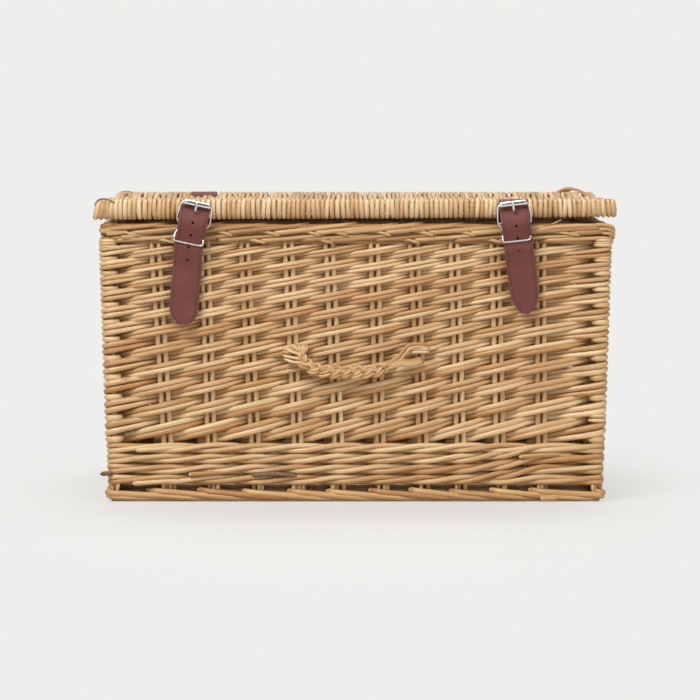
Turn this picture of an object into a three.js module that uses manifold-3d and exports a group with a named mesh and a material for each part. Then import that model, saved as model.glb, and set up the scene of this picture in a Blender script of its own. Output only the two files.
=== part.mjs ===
// Wicker storage chest with a hinged lid, two buckled leather straps and a plaited front handle.
// Lengths are millimetres. +Z is up, +X runs along the front and the front faces -Y.
// The chest stands on z = 0 and the origin is the centre of its footprint.
import * as THREE from 'three';
import { mergeVertices } from 'three/addons/utils/BufferGeometryUtils.js';
import Module from 'manifold-3d';

const wasm = await Module();
wasm.setup();

// Running and resting clearance between two pieces that touch
const fit = 0.3;

// Chest body
const wallSpan = 428.6; // between the left and right rows of stakes
const wallDepth = 301.6; // between the front and rear rows of stakes
const footHeight = 14.7;
const waleHeight = 35;
const weaveHeight = 179.1;
const borderHeight = 17;

// Upright stakes, standing in pairs
const stakeRadius = 2.2;
const pairGap = 2;
const stakeSpacing = 37;
const stakeLean = 5.8; // how far a stake leans towards the left of its wall over the woven height
const postRadius = 5;

// Woven wall strands: each ribbon is a pair of rods
const strandThickness = 3.6;
const lowestBand = 9.85; // height that one strand takes at the bottom of the wall
const highestBand = 6; // the rods taper, so the bands are lower at the top
const bandGap = 0.5;
const strandTail = 7; // free end past the stake where a strand starts or stops
const wrapThickness = 2.7; // rods wrapped round the corner posts
const strandGrip = 0.5; // how far a strand's end sits in the wraps

// Rods of the wale round the bottom
const waleRows = 4;
const waleRodThickness = 5.2;
const waleGroove = 1.2;

// Foot border of slanting rods
const footOut = 6.8; // its face, measured from the row of stakes
const footIn = 8;
const footLedge = 8; // height of the ledge that the stake feet stand over
const footRodEnd = 6; // rise of each slanting rod's cut end above the ledge

// Top border, made of the stakes turned down along the rim
const borderWidth = 15;
const borderProud = 4; // how far it stands out past the woven wall
const borderRows = 3;
const borderGroove = 1;
const borderCorner = 8;

// Lid
const lidGap = 3;
const lidOverhang = 6.5; // past the woven wall on all four sides
const rollRadius = 8.4; // wrapped front and rear edges
const edgeStickRadius = 4.4;
const lidStickRadius = 1.8; // also those of the base
const lidSticks = 5;
const lidWeaver = 3.8; // thickness of the rods that pass over and under the sticks
const lidRibWidth = 8.6; // two rods side by side, drawn as one
const lidRibGap = 0.6;

// Base
const baseThickness = 8;
const baseRibWidth = 22;
const baseGroove = 0.9;
const baseLift = 1.5; // above the lower edge of the wale
const baseSticks = 5;

// Leather
const leather = 2.4;
const strapWidth = 24.4;
const strapFromStake = 8.5; // from the second stake pair towards the corner
const strapTilt = THREE.MathUtils.degToRad(7.6);
const strapDrop = 91; // from the buckle's centre bar to the strap's tip
const strapTipLength = 11;
const strapTipShoulder = 0.72; // width part way down the tip, against the full width
const strapTipEnd = 0.28; // and at the very end
const strapBend = 5; // length over which it turns at a bar of the buckle
const strapLanding = 18; // from the keeper bar down to where it meets the wall
const loopLap = THREE.MathUtils.degToRad(7); // the loop runs this far past the place where the tail leaves
const strapEnds = THREE.MathUtils.degToRad(50); // where its fixed end stops behind the roll, below level
const holeSpacing = 11;
const holeRadius = 2;
const hingeWidth = 25;
const chapeLeather = 2.2;
const chapeWidth = 16;
const chapeShift = 4.2; // the chape sits towards the end of the chest, clear of the stakes
const chapeInside = 22; // length that hangs down inside the wall

// Buckle of bent wire
const wireRadius = 1.1;
const buckleHead = 16; // centre bar up to the roller bar
const buckleFoot = 19; // centre bar down to the keeper bar
const headFlare = 0.4;
const wireCorner = 3;
const rollerRadius = 2.5;
const prongRadius = 1.1;
const prongEyeWall = 1.3;
const prongNotch = 0.4; // room beside the prong in the slit of the chape
const prongTip = 3; // reach past the roller
const headOut = 3.6; // the roller bar stands this far in front of the centre bar
const keeperOut = 3; // and the keeper bar this far
const prongHolePlace = 5.6; // middle of the buckled hole above the centre bar
const prongHoleLength = 2.3; // it is drawn out by this much

// Plaited handle
const handleSpan = 3; // stake spacings between its two ends
const handleHeight = 134;
const handleSag = 22;
const plaitWidth = 9.4;
const plaitThickness = 7.6;
const plaitPitch = 9;
const plaitCurve = 3; // how square the sagging curve is
const plaitProud = 1; // stands out from the middle of its eyes
const plaitGrip = 0.8; // sinks this far into the eyes
const plaitEnd = 0.62; // thickness at its ends, against the middle
const plaitTaper = 0.17; // share of the length over which it thins
const plaitWaist = 0.88; // width between two crossings of the strands
const eyeRadius = 4.4;
const eyeClear = 0.5; // from the eyes to the weave
const tieRadius = 2;
const tieBend = 1.5;

// Places worked out from the sizes above
const halfSpan = wallSpan / 2;
const strapPlace = (stakeCount(wallSpan) - 3) / 2 * stakeSpacing + strapFromStake;
const halfDepth = wallDepth / 2;
const rodOffset = stakeRadius + pairGap / 2;
const pairHalf = rodOffset + stakeRadius;
const waleBottom = footHeight + fit;
const waleTop = waleBottom + waleHeight;
const weaveBottom = waleTop + fit;
const weaveTop = weaveBottom + weaveHeight;
const borderBottom = weaveTop + fit;
const borderTop = borderBottom + borderHeight;
const rollHeight = borderTop + lidGap + rollRadius;
const swing = strandSwing();
const wallHalf = swing + strandThickness / 2 * Math.hypot(1, 2 * swing / stakeSpacing);
const borderOuter = wallHalf + borderProud;
const borderInner = borderOuter - borderWidth;
const lidHalfWidth = halfSpan + wallHalf + lidOverhang;
const lidHalfDepth = halfDepth + wallHalf + lidOverhang;
const rollPlace = lidHalfDepth - rollRadius;
const sleeveInner = postRadius + fit;
const sleeveOuter = sleeveInner + wrapThickness;
const wrapFlat = sleeveOuter - 2 * strandGrip;
const stakeSeat = stakeRadius + fit;
const waleOuter = stakeSeat + waleRodThickness;
const loopOuter = rollRadius; // the leather lies flush with the wrapped edge
const loopInner = loopOuter - leather;
const slotRadius = loopOuter + fit;
const barHole = wireRadius + fit;
const chapeEye = barHole + chapeLeather;
const barPlace = -(halfDepth + borderOuter + fit + chapeEye);
const barHeight = borderTop;
const frameInner = strapWidth / 2 + fit;
const tailReach = loopOuter - leather / 4; // where its middle leaves the loop, from the roll's middle
const eyeReach = chapeEye + fit + leather / 2; // the strap's middle passes the eye of the chape at this distance
const strapLeaves = tailSlope(); // where the tail leaves the front roll, above level

// The straight line that touches both the loop on the front roll and the eye of the chape
function tailSlope() {
  const [out, up] = [-barPlace - rollPlace, rollHeight - barHeight];
  const narrowing = tailReach - eyeReach;
  return Math.atan2(out, up) - Math.asin(narrowing / Math.hypot(out, up));
}

// How far a strand swings each side of the stakes so that it just clears both rods of a pair
function strandSwing() {
  const reach = stakeRadius + fit + strandThickness / 2;
  const run = stakeSpacing - 2 * rodOffset;
  return reach * stakeSpacing / Math.sqrt(run * run - 4 * reach * reach);
}

// A body from rings of points, each ring the same count; closed runs round to its own start
function sweep(rings, closed = false) {
  const size = rings[0].length;
  const places = rings.flat().flatMap((p) => [p.x, p.y, p.z]);
  const faces = [];
  const last = closed ? rings.length : rings.length - 1;
  for (let i = 0; i < last; i += 1) {
    const here = i * size;
    const next = ((i + 1) % rings.length) * size;
    for (let k = 0; k < size; k += 1) {
      const turn = (k + 1) % size;
      faces.push(here + k, here + turn, next + turn, here + k, next + turn, next + k);
    }
  }
  if (!closed) {
    const end = (rings.length - 1) * size;
    for (let k = 1; k < size - 1; k += 1) {
      faces.push(0, k + 1, k, end, end + k, end + k + 1);
    }
  }
  const geometry = new THREE.BufferGeometry();
  geometry.setAttribute('position', new THREE.Float32BufferAttribute(places, 3));
  geometry.setIndex(outward(places, faces));
  return geometry;
}

// Turns the faces round if they enclose a negative volume
function outward(places, faces) {
  const point = (i) => new THREE.Vector3().fromArray(places, i * 3);
  let volume = 0;
  for (let i = 0; i < faces.length; i += 3) {
    volume += point(faces[i]).dot(point(faces[i + 1]).cross(point(faces[i + 2])));
  }
  return volume < 0 ? faces.reverse() : faces;
}

// A closed three.js geometry as a solid that can be joined and cut
function solid(geometry) {
  const bare = new THREE.BufferGeometry();
  bare.setAttribute('position', geometry.getAttribute('position'));
  bare.setIndex(geometry.getIndex());
  const merged = mergeVertices(bare, 1e-4);
  return new wasm.Manifold(new wasm.Mesh({
    numProp: 3,
    vertProperties: Float32Array.from(merged.getAttribute('position').array),
    triVerts: Uint32Array.from(merged.getIndex().array),
  }));
}

function geometryOf(shape) {
  const mesh = shape.getMesh();
  const geometry = new THREE.BufferGeometry();
  geometry.setAttribute('position', new THREE.BufferAttribute(mesh.vertProperties, mesh.numProp));
  geometry.setIndex(new THREE.BufferAttribute(mesh.triVerts, 1));
  return geometry;
}

function join(geometries) {
  return geometries.map(solid).reduce((whole, piece) => whole.add(piece));
}

function box(low, high) {
  const size = new THREE.Vector3().subVectors(high, low);
  const middle = new THREE.Vector3().addVectors(low, high).multiplyScalar(0.5);
  return new THREE.BoxGeometry(size.x, size.y, size.z).translate(middle.x, middle.y, middle.z);
}

function at(x, y, z) {
  return new THREE.Vector3(x, y, z);
}

// An outline given as (across, up) points, pushed along X about its middle
function alongX(points, length, holes = []) {
  const shape = new THREE.Shape(points);
  shape.holes = holes.map((hole) => new THREE.Path(hole));
  const geometry = new THREE.ExtrudeGeometry(shape, { depth: length, bevelEnabled: false });
  geometry.translate(0, 0, -length / 2);
  const turned = new THREE.Matrix4().set(0, 0, 1, 0, 1, 0, 0, 0, 0, 1, 0, 0, 0, 0, 0, 1);
  return geometry.applyMatrix4(turned);
}

function circlePoints(y, z, radius, count, start = 0) {
  return Array.from({ length: count }, (_, i) => {
    const angle = start + i * 2 * Math.PI / count;
    return new THREE.Vector2(y + radius * Math.cos(angle), z + radius * Math.sin(angle));
  });
}

// A round rod or bar between two points
function rod(from, to, radius, sides) {
  const line = new THREE.Vector3().subVectors(to, from);
  const geometry = new THREE.CylinderGeometry(radius, radius, line.length(), sides);
  const turn = new THREE.Quaternion().setFromUnitVectors(at(0, 1, 0), line.normalize());
  const middle = new THREE.Vector3().addVectors(from, to).multiplyScalar(0.5);
  return geometry.applyQuaternion(turn).translate(middle.x, middle.y, middle.z);
}

// A tube of closed section along X with a bore
function sleeve(y, z, inner, outer, length, sides, start = 0) {
  return alongX(circlePoints(y, z, outer, sides, start), length, [circlePoints(y, z, inner, sides, start)]);
}

// Bent wire: rings of an evenly sided section in the plane that halves each bend
function wire(points, radius, sides, closed) {
  const rings = points.map((point, i) => {
    const before = points[closed ? (i + points.length - 1) % points.length : Math.max(i - 1, 0)];
    const after = points[closed ? (i + 1) % points.length : Math.min(i + 1, points.length - 1)];
    const along = new THREE.Vector3().subVectors(after, before).normalize();
    const side = new THREE.Vector3().crossVectors(along, wireSide(along)).normalize();
    const up = new THREE.Vector3().crossVectors(side, along);
    return Array.from({ length: sides }, (_, k) => {
      const angle = (k + 0.5) * 2 * Math.PI / sides;
      return point.clone().addScaledVector(side, radius * Math.cos(angle))
        .addScaledVector(up, radius * Math.sin(angle));
    });
  });
  return sweep(rings, closed);
}

// The wires here are bent mainly in planes that hold the X axis, so Y is never along them
function wireSide(along) {
  return Math.abs(along.y) < 0.95 ? at(0, 1, 0) : at(0, 0, 1);
}

// Columns and bands of the weave
function stakeCount(length) {
  return Math.floor(length / stakeSpacing) - 1;
}

function stakePlace(index, count, z) {
  const lean = stakeLean * ((weaveBottom + weaveTop) / 2 - z) / weaveHeight;
  return (index - (count - 1) / 2) * stakeSpacing + lean;
}

function bandEdges() {
  const count = Math.round(2 * weaveHeight / (lowestBand + highestBand));
  const edges = [weaveBottom];
  for (let i = 0; i < count; i += 1) {
    const step = lowestBand + (highestBand - lowestBand) * i / (count - 1);
    edges.push(edges[i] + step);
  }
  const stretch = weaveHeight / (edges[count] - weaveBottom);
  return edges.map((edge) => weaveBottom + (edge - weaveBottom) * stretch);
}

// One strand: a ribbon that passes in front of one stake pair and behind the next as it rises
function strand(first, edges, count, half, plane) {
  const bands = edges.length - 1;
  const begin = Math.max(0, -first);
  const end = Math.min(count + 1, bands - 1 - first);
  const grip = wrapFlat - strandGrip;
  const front = (level) => (level % 2 === 1 ? -1 : 1);
  const column = (c, z) => {
    if (c === 0) return -half;
    if (c === count + 1) return half;
    return stakePlace(c - 1, count, z);
  };
  const ring = (place, level, side) => {
    const whole = Math.floor(level);
    const part = level - whole;
    const low = edges[whole] + (part > 0 ? part * (edges[whole + 1] - edges[whole]) : 0);
    const top = edges[whole + 1] + (part > 0 ? part * (edges[whole + 2] - edges[whole + 1]) : 0);
    const thick = strandThickness / 2 * Math.hypot(1, 2 * swing / stakeSpacing);
    const y = -plane + side * swing;
    const [bottom, upper] = [low + bandGap / 2, top - bandGap / 2];
    return [
      at(place(bottom), y - thick, bottom), at(place(bottom), y + thick, bottom),
      at(place(upper), y + thick, upper), at(place(upper), y - thick, upper),
    ];
  };
  // Part way between two columns, where the strand enters the wraps of a corner post
  const between = (c, corner) => {
    const z = edges[first + c];
    const reach = grip / (column(c + 1, z) - column(c, z));
    const share = corner === c ? reach : 1 - reach;
    const level = first + c + share;
    const side = front(first + c) * (1 - 2 * share);
    return ring((z) => column(c, z) + share * (column(c + 1, z) - column(c, z)), level, side);
  };
  const rings = [];
  if (begin === 0) {
    rings.push(between(0, 0));
  } else {
    rings.push(ring((z) => column(begin, z) - strandTail, first + begin, front(first + begin)));
  }
  for (let c = Math.max(begin, 1); c <= Math.min(end, count); c += 1) {
    rings.push(ring((z) => column(c, z), first + c, front(first + c)));
  }
  if (end === count + 1) {
    rings.push(between(count, count + 1));
  } else {
    rings.push(ring((z) => column(end, z) + strandTail, first + end, front(first + end)));
  }
  return sweep(rings);
}

// Half of the rods wrapped round a corner post, up to the mitre with the next wall; the strands of
// this wall enter its flat side
function cornerWrap(end, half, plane) {
  const trim = Math.asin(fit / 2 / sleeveInner);
  const shape = new THREE.Shape();
  shape.absarc(0, 0, sleeveOuter, -3 * Math.PI / 4 + trim, -Math.PI / 3, false);
  shape.lineTo(wrapFlat, -wallHalf);
  shape.lineTo(wrapFlat, wrapFlat - fit);
  shape.absarc(0, 0, sleeveInner, Math.PI / 4 - trim, -3 * Math.PI / 4 + trim, true);
  const geometry = new THREE.ExtrudeGeometry(shape, {
    depth: weaveHeight, bevelEnabled: false, curveSegments: 6,
  });
  geometry.translate(-half, 0, weaveBottom);
  const placed = end < 0 ? solid(geometry) : solid(geometry).mirror([1, 0, 0]);
  return geometryOf(placed).translate(0, -plane, 0);
}

// A whole woven wall, drawn as the front one; half and plane are its half length and its distance out
function wovenWall(half, plane) {
  const count = stakeCount(2 * half);
  const edges = bandEdges();
  const pieces = [cornerWrap(-1, half, plane), cornerWrap(1, half, plane)];
  for (let first = -count; first < edges.length - 2; first += 1) {
    pieces.push(strand(first, edges, count, half, plane));
  }
  return join(pieces);
}

// Grooved edge of stacked rods as (out, up) points, from the bottom to the top
function rodRows(out, bottom, height, rows, groove) {
  const row = height / rows;
  const points = [];
  for (let i = 0; i < rows; i += 1) {
    points.push([out - groove, bottom + i * row], [out, bottom + (i + 0.5) * row]);
  }
  points.push([out - groove, bottom + height]);
  return points;
}

// A side of the top border with its stakes, which are the same rods turned down along the rim
function borderedStakes(half, plane) {
  const count = stakeCount(2 * half);
  const outer = plane + borderOuter;
  const inner = plane + borderInner;
  const profile = rodRows(outer, borderBottom, borderHeight, borderRows, borderGroove)
    .map(([y, z]) => new THREE.Vector2(-y, z));
  profile.push(new THREE.Vector2(-inner, borderTop), new THREE.Vector2(-inner, borderBottom));
  const rail = alongX(profile, 2 * (half + borderOuter));
  const plan = new THREE.Shape();
  const shift = fit * Math.SQRT1_2;
  const tip = half + borderOuter - borderCorner;
  plan.moveTo(half + borderInner - shift, -inner);
  plan.lineTo(-(half + borderInner) + shift, -inner);
  plan.absarc(-tip + shift, -outer + borderCorner, borderCorner, 5 * Math.PI / 4, 3 * Math.PI / 2, false);
  plan.absarc(tip - shift, -outer + borderCorner, borderCorner, -Math.PI / 2, -Math.PI / 4, false);
  const mitre = new THREE.ExtrudeGeometry(plan, {
    depth: borderTop + fit, bevelEnabled: false, curveSegments: 3,
  });
  let whole = solid(rail).intersect(solid(mitre));
  for (let i = 0; i < count; i += 1) {
    for (const side of [-rodOffset, rodOffset]) {
      const foot = at(stakePlace(i, count, footLedge) + side, -plane, footLedge + fit);
      const head = at(stakePlace(i, count, borderBottom) + side, -plane, borderBottom + stakeRadius);
      whole = whole.add(solid(rod(foot, head, stakeRadius, 5)));
    }
  }
  return whole;
}

// A ring round the four walls; profile is a closed list of (out from the stakes, up) points
function ringAround(profile, cornerSteps) {
  const rings = [];
  const corners = [[1, -1], [1, 1], [-1, 1], [-1, -1]];
  corners.forEach(([sx, sy], i) => {
    const start = (i - 1) * Math.PI / 2;
    for (let step = 0; step <= cornerSteps; step += 1) {
      const angle = start + (cornerSteps ? step / cornerSteps : 0) * Math.PI / 2;
      const way = cornerSteps ? [Math.cos(angle), Math.sin(angle)] : [sx, sy];
      rings.push(profile.map(([out, up]) => at(
        sx * halfSpan + out * way[0],
        sy * halfDepth + out * way[1],
        up,
      )));
    }
  });
  return sweep(rings, true);
}

// Space for the corner posts, to be cut from what passes round them
function postSpaces(bottom, top) {
  const spaces = [];
  for (const sx of [-1, 1]) {
    for (const sy of [-1, 1]) {
      const x = sx * halfSpan;
      const y = sy * halfDepth;
      spaces.push(rod(at(x, y, bottom), at(x, y, top), sleeveInner, 12));
    }
  }
  return join(spaces);
}

function outerWale() {
  const profile = rodRows(waleOuter, waleBottom, waleHeight, waleRows, waleGroove);
  profile.push([stakeSeat, waleTop], [stakeSeat, waleBottom]);
  return solid(ringAround(profile, 3)).subtract(postSpaces(waleBottom - 1, waleTop + 1));
}

function innerWale() {
  const profile = rodRows(waleOuter, waleBottom, waleHeight, waleRows, waleGroove)
    .map(([out, up]) => [-out, up]);
  profile.push([-stakeSeat, waleTop], [-stakeSeat, waleBottom]);
  return solid(ringAround(profile, 0)).subtract(postSpaces(waleBottom - 1, waleTop + 1));
}

// The foot border: a ledge all round, and the slanting rods in front of the stake feet
function footBorder() {
  const ledge = ringAround([[footOut, 0], [footOut, footLedge], [-footIn, footLedge], [-footIn, 0]], 3);
  let whole = solid(ledge);
  const sides = [[halfSpan, halfDepth], [halfDepth, halfSpan], [halfSpan, halfDepth], [halfDepth, halfSpan]];
  sides.forEach(([half, plane], i) => {
    const count = stakeCount(2 * half);
    const teeth = [];
    const [low, high] = [footLedge - 1, footLedge + footRodEnd];
    const end = half - postRadius - fit;
    teeth.push(new THREE.Vector2(end, low), new THREE.Vector2(-end, low));
    for (let c = -1; c < count; c += 1) {
      const start = c < 0 ? -end : stakePlace(c, count, high) + pairHalf;
      const stop = c + 1 < count ? stakePlace(c + 1, count, high) + pairHalf : end;
      teeth.push(new THREE.Vector2(start, high), new THREE.Vector2(stop, footLedge + 1));
    }
    const strip = new THREE.ExtrudeGeometry(new THREE.Shape(teeth.reverse()), {
      depth: footOut - stakeSeat, bevelEnabled: false,
    });
    strip.rotateX(Math.PI / 2);
    strip.translate(0, -plane - stakeSeat, 0);
    strip.rotateZ(i * Math.PI / 2);
    whole = whole.add(solid(strip));
  });
  return whole;
}

// A board of rods lying side by side, seen end on as (x, z) points
function ribbedBoard(halfWidth, middle, thickness, pitch) {
  const ribs = Math.max(2, Math.round(2 * halfWidth / pitch));
  const rib = 2 * halfWidth / ribs;
  const points = [];
  for (const face of [1, -1]) {
    const edge = middle + face * thickness / 2;
    for (let i = 0; i < ribs; i += 1) {
      const start = face * (halfWidth - i * rib);
      points.push(new THREE.Vector2(start, edge - face * baseGroove));
      points.push(new THREE.Vector2(start - face * rib / 2, edge));
    }
    points.push(new THREE.Vector2(-face * halfWidth, edge - face * baseGroove));
  }
  return points;
}

function boardAlongY(points, from, to) {
  const board = new THREE.ExtrudeGeometry(new THREE.Shape(points), {
    depth: to - from, bevelEnabled: false,
  });
  return board.rotateX(Math.PI / 2).translate(0, to, 0);
}

function lidStickPlace(index) {
  return 2 * rollPlace * ((index + 1) / (lidSticks + 1) - 0.5);
}

// Where the leather loops pass through the lid weave
function hingePlaces() {
  const count = stakeCount(wallSpan);
  const height = borderBottom;
  const between = (i) => (stakePlace(i, count, height) + stakePlace(i + 1, count, height)) / 2;
  return [-between(0), -between(count - 2)];
}

// Rods of the lid that pass over one stick and under the next, from the front edge to the rear
function lidRib(index, left, width) {
  const grip = (rollRadius + edgeStickRadius) / 2;
  const wave = lidStickRadius + fit + lidWeaver / 2;
  const ring = (y, z) => [
    at(left, y, z - lidWeaver / 2), at(left + width, y, z - lidWeaver / 2),
    at(left + width, y, z + lidWeaver / 2), at(left, y, z + lidWeaver / 2),
  ];
  const rings = [ring(-rollPlace + grip, rollHeight)];
  for (let i = 0; i < lidSticks; i += 1) {
    const side = (i + index) % 2 === 0 ? 1 : -1;
    rings.push(ring(lidStickPlace(i), rollHeight + side * wave));
  }
  rings.push(ring(rollPlace - grip, rollHeight));
  return sweep(rings);
}

// The rods are wrapped round the front and rear edges, and lie close where a leather loop cuts them short
function lidWeave() {
  const strapSlot = strapWidth + 2 * fit + 2 * loopInner * Math.tan(strapTilt);
  const hingeSlot = hingeWidth + 2 * fit;
  const hingeReach = Math.max(slotRadius, rollPlace - halfDepth - borderInner + 2 * fit + leather);
  const places = [
    ...[-1, 1].map((side) => [side * strapPlace, -rollPlace, strapSlot, slotRadius]),
    ...hingePlaces().map((x) => [x, rollPlace, hingeSlot, hingeReach]),
  ];
  const count = Math.round(2 * lidHalfWidth / lidRibWidth);
  const pitch = 2 * lidHalfWidth / count;
  const ribs = Array.from({ length: count }, (_, i) => {
    const left = -lidHalfWidth + i * pitch;
    const cut = places.some(([x, , width]) => Math.abs(left + pitch / 2 - x) < width / 2 + pitch);
    return cut || i === count - 1 ? lidRib(i, left, pitch) : lidRib(i, left, pitch - lidRibGap);
  });
  let board = join(ribs);
  const slot = (x, y, width, reach) => solid(box(
    at(x - width / 2, y - reach, rollHeight - rollRadius),
    at(x + width / 2, y + reach, rollHeight + rollRadius),
  ));
  for (const place of places) {
    board = board.subtract(slot(...place));
  }
  for (const y of [-rollPlace, rollPlace]) {
    const roll = sleeve(
      y, rollHeight, edgeStickRadius + fit, rollRadius, 2 * lidHalfWidth, 12, Math.PI / 12,
    );
    board = board.add(solid(roll));
  }
  for (const [x, y, width] of places) {
    const groove = sleeve(y, rollHeight, loopInner - fit, rollRadius + 1, width, 16);
    board = board.subtract(solid(groove.translate(x, 0, 0)));
  }
  return board;
}

function baseWeave() {
  const halfX = halfSpan - waleOuter - fit;
  const halfY = halfDepth - waleOuter - fit;
  const middle = waleBottom + baseLift + baseThickness / 2;
  let board = solid(boardAlongY(ribbedBoard(halfX, middle, baseThickness, baseRibWidth), -halfY, halfY));
  for (let i = 0; i < baseSticks; i += 1) {
    const y = baseStickPlace(i);
    board = board.subtract(solid(rod(
      at(-halfX - 1, y, middle), at(halfX + 1, y, middle), lidStickRadius + fit, 6,
    )));
  }
  return board;
}

function baseStickPlace(index) {
  const reach = halfDepth - waleOuter - fit;
  return reach * ((index + 0.5) * 2 / baseSticks - 1);
}

// A closed leather loop round a roll and the border rail under it, drawn as (y, z) outlines
function hull(points) {
  const sorted = [...points].sort((a, b) => a.x - b.x || a.y - b.y);
  const half = (list) => {
    const chain = [];
    for (const p of list) {
      while (chain.length > 1) {
        const [a, b] = chain.slice(-2);
        if ((b.x - a.x) * (p.y - a.y) - (b.y - a.y) * (p.x - a.x) > 1e-9) break;
        chain.pop();
      }
      chain.push(p);
    }
    return chain.slice(0, -1);
  };
  return [...half(sorted), ...half([...sorted].reverse())];
}

function hingeLoop(x) {
  const rail = [borderBottom, borderTop].flatMap((z) => [[borderInner, z], [borderOuter, z]]);
  const around = (extra) => hull([
    ...circlePoints(rollPlace, rollHeight, loopInner - fit + extra, 24),
    ...rail.flatMap(([out, z]) => circlePoints(halfDepth + out, z, extra, 8, Math.PI / 8)),
  ]);
  const outline = alongX(around(fit + leather), hingeWidth, [around(fit)]);
  return outline.translate(x, 0, 0);
}

// Space that a leather strap needs just under the border rail, to be cut from the weave
function hingeSpace(x) {
  const low = borderBottom - 2 * fit - leather;
  return box(
    at(x - hingeWidth / 2 - fit, halfDepth - wallHalf - leather - 1, low),
    at(x + hingeWidth / 2 + fit, halfDepth + wallHalf + leather + 1, borderBottom + 1),
  );
}

// Everything at a buckle is drawn about the middle of its centre bar: X along the bar, Z up the strap
function buckleMatrix(side) {
  const place = side * (strapPlace + (rollHeight - barHeight) * Math.tan(strapTilt));
  return new THREE.Matrix4().makeRotationY(-side * strapTilt).setPosition(place, barPlace, barHeight);
}

function chapePassage(extra) {
  const back = -barPlace - halfDepth + wallHalf + fit;
  const corner = (chapeWidth / 2 + chapeShift) * Math.sin(strapTilt);
  const under = (barHeight - borderBottom + corner) / Math.cos(strapTilt) + fit;
  return box(
    at(-chapeWidth / 2 - extra, chapeEye - chapeLeather - extra, -under - chapeLeather - extra),
    at(chapeWidth / 2 + extra, back + chapeLeather + extra, -under + extra),
  );
}

function chape(side) {
  const passage = chapePassage(0);
  passage.computeBoundingBox();
  const { min, max } = passage.boundingBox;
  const front = chapeEye - chapeLeather;
  const eye = circlePoints(0, 0, chapeEye, 12).filter((p) => p.x < front || p.y > -0.1);
  const start = eye.findIndex((p) => p.x > chapeEye - 0.1);
  const outline = [...eye.slice(start), ...eye.slice(0, start)];
  outline.push(
    new THREE.Vector2(front, -chapeEye), new THREE.Vector2(front, min.z),
    new THREE.Vector2(max.y - chapeLeather, min.z),
    new THREE.Vector2(max.y - chapeLeather, min.z - chapeInside),
    new THREE.Vector2(max.y, min.z - chapeInside), new THREE.Vector2(max.y, max.z),
    new THREE.Vector2(chapeEye, max.z),
  );
  const middle = -side * chapeShift;
  const notch = prongRadius + fit + prongNotch;
  const shape = solid(alongX(outline, chapeWidth, [circlePoints(0, 0, barHole, 12)]))
    .subtract(solid(box(
      at(middle - notch, -chapeEye - 1, -chapeEye - fit), at(middle + notch, chapeEye + 1, chapeEye + 1),
    )));
  return geometryOf(shape).translate(side * chapeShift, 0, 0);
}

// Bent wire of the buckle, with its roller bar at the top and its keeper bar at the bottom
function bucklePath() {
  const head = frameInner + headFlare + wireRadius;
  const foot = frameInner + wireRadius;
  const corner = (x, z, out, turn) => [0, 1, 2].map((i) => {
    const angle = turn + i * Math.PI / 4;
    return at(
      x + wireCorner * Math.cos(angle),
      -out,
      z + wireCorner * Math.sin(angle),
    );
  });
  const right = [
    ...corner(foot - wireCorner, -buckleFoot + wireCorner, keeperOut, -Math.PI / 2),
    at(foot, 0, 0),
    ...corner(head - wireCorner, buckleHead - wireCorner, headOut, 0),
  ];
  const left = right.map((p) => at(-p.x, p.y, p.z)).reverse();
  return [...right, ...left];
}

function buckleFrame() {
  const bar = rod(
    at(-frameInner - wireRadius, 0, 0), at(frameInner + wireRadius, 0, 0), wireRadius, 8,
  );
  return join([wire(bucklePath(), wireRadius, 6, true), bar]);
}

function roller() {
  const length = 2 * (frameInner + headFlare + wireRadius - wireCorner) - 2 * fit;
  return sleeve(-headOut, buckleHead, wireRadius + fit, rollerRadius, length, 12);
}

// The prong: an eye on the centre bar and a slim tongue that lies on the roller
function prong() {
  const rest = headOut + rollerRadius + fit + prongRadius;
  const eye = sleeve(0, 0, barHole, barHole + prongEyeWall, 2 * prongRadius, 12);
  const path = [
    at(0, -barHole - prongEyeWall / 3, prongRadius / 2),
    at(0, -barHole - prongEyeWall, prongHolePlace / 2),
    at(0, -rest + prongRadius, prongHolePlace + prongRadius),
    at(0, -rest, buckleHead - prongRadius),
    at(0, -rest, buckleHead + prongTip),
  ];
  const shape = join([eye, wire(path, prongRadius, 6, false)])
    .subtract(solid(rod(at(-barHole, 0, 0), at(barHole, 0, 0), barHole, 12)));
  return geometryOf(shape);
}

// Closing strap: a loop round the lid's front edge and a tail threaded through the buckle
function strapLine(side) {
  const inverse = buckleMatrix(side).invert();
  const start = at(
    side * strapPlace,
    -rollPlace - tailReach * Math.cos(strapLeaves),
    rollHeight + tailReach * Math.sin(strapLeaves),
  ).applyMatrix4(inverse);
  const alongWall = -(barPlace + halfDepth + wallHalf) - leather / 2 - 2 * fit;
  const overEye = eyeReach / Math.cos(strapLeaves);
  const behindKeeper = -keeperOut + wireRadius + fit + leather / 2;
  return [
    at(0, start.y, start.z),
    at(0, -overEye, 0),
    at(0, -overEye + 2 * fit, -strapBend),
    at(0, behindKeeper, -buckleFoot),
    at(0, behindKeeper, -buckleFoot - strapBend),
    at(0, alongWall - 2 * fit, -buckleFoot - strapLanding),
    at(0, alongWall, -strapDrop + strapTipLength),
    at(0, alongWall, -strapDrop + strapTipLength * (1 - strapTipShoulder)),
    at(0, alongWall, -strapDrop),
  ];
}

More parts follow.
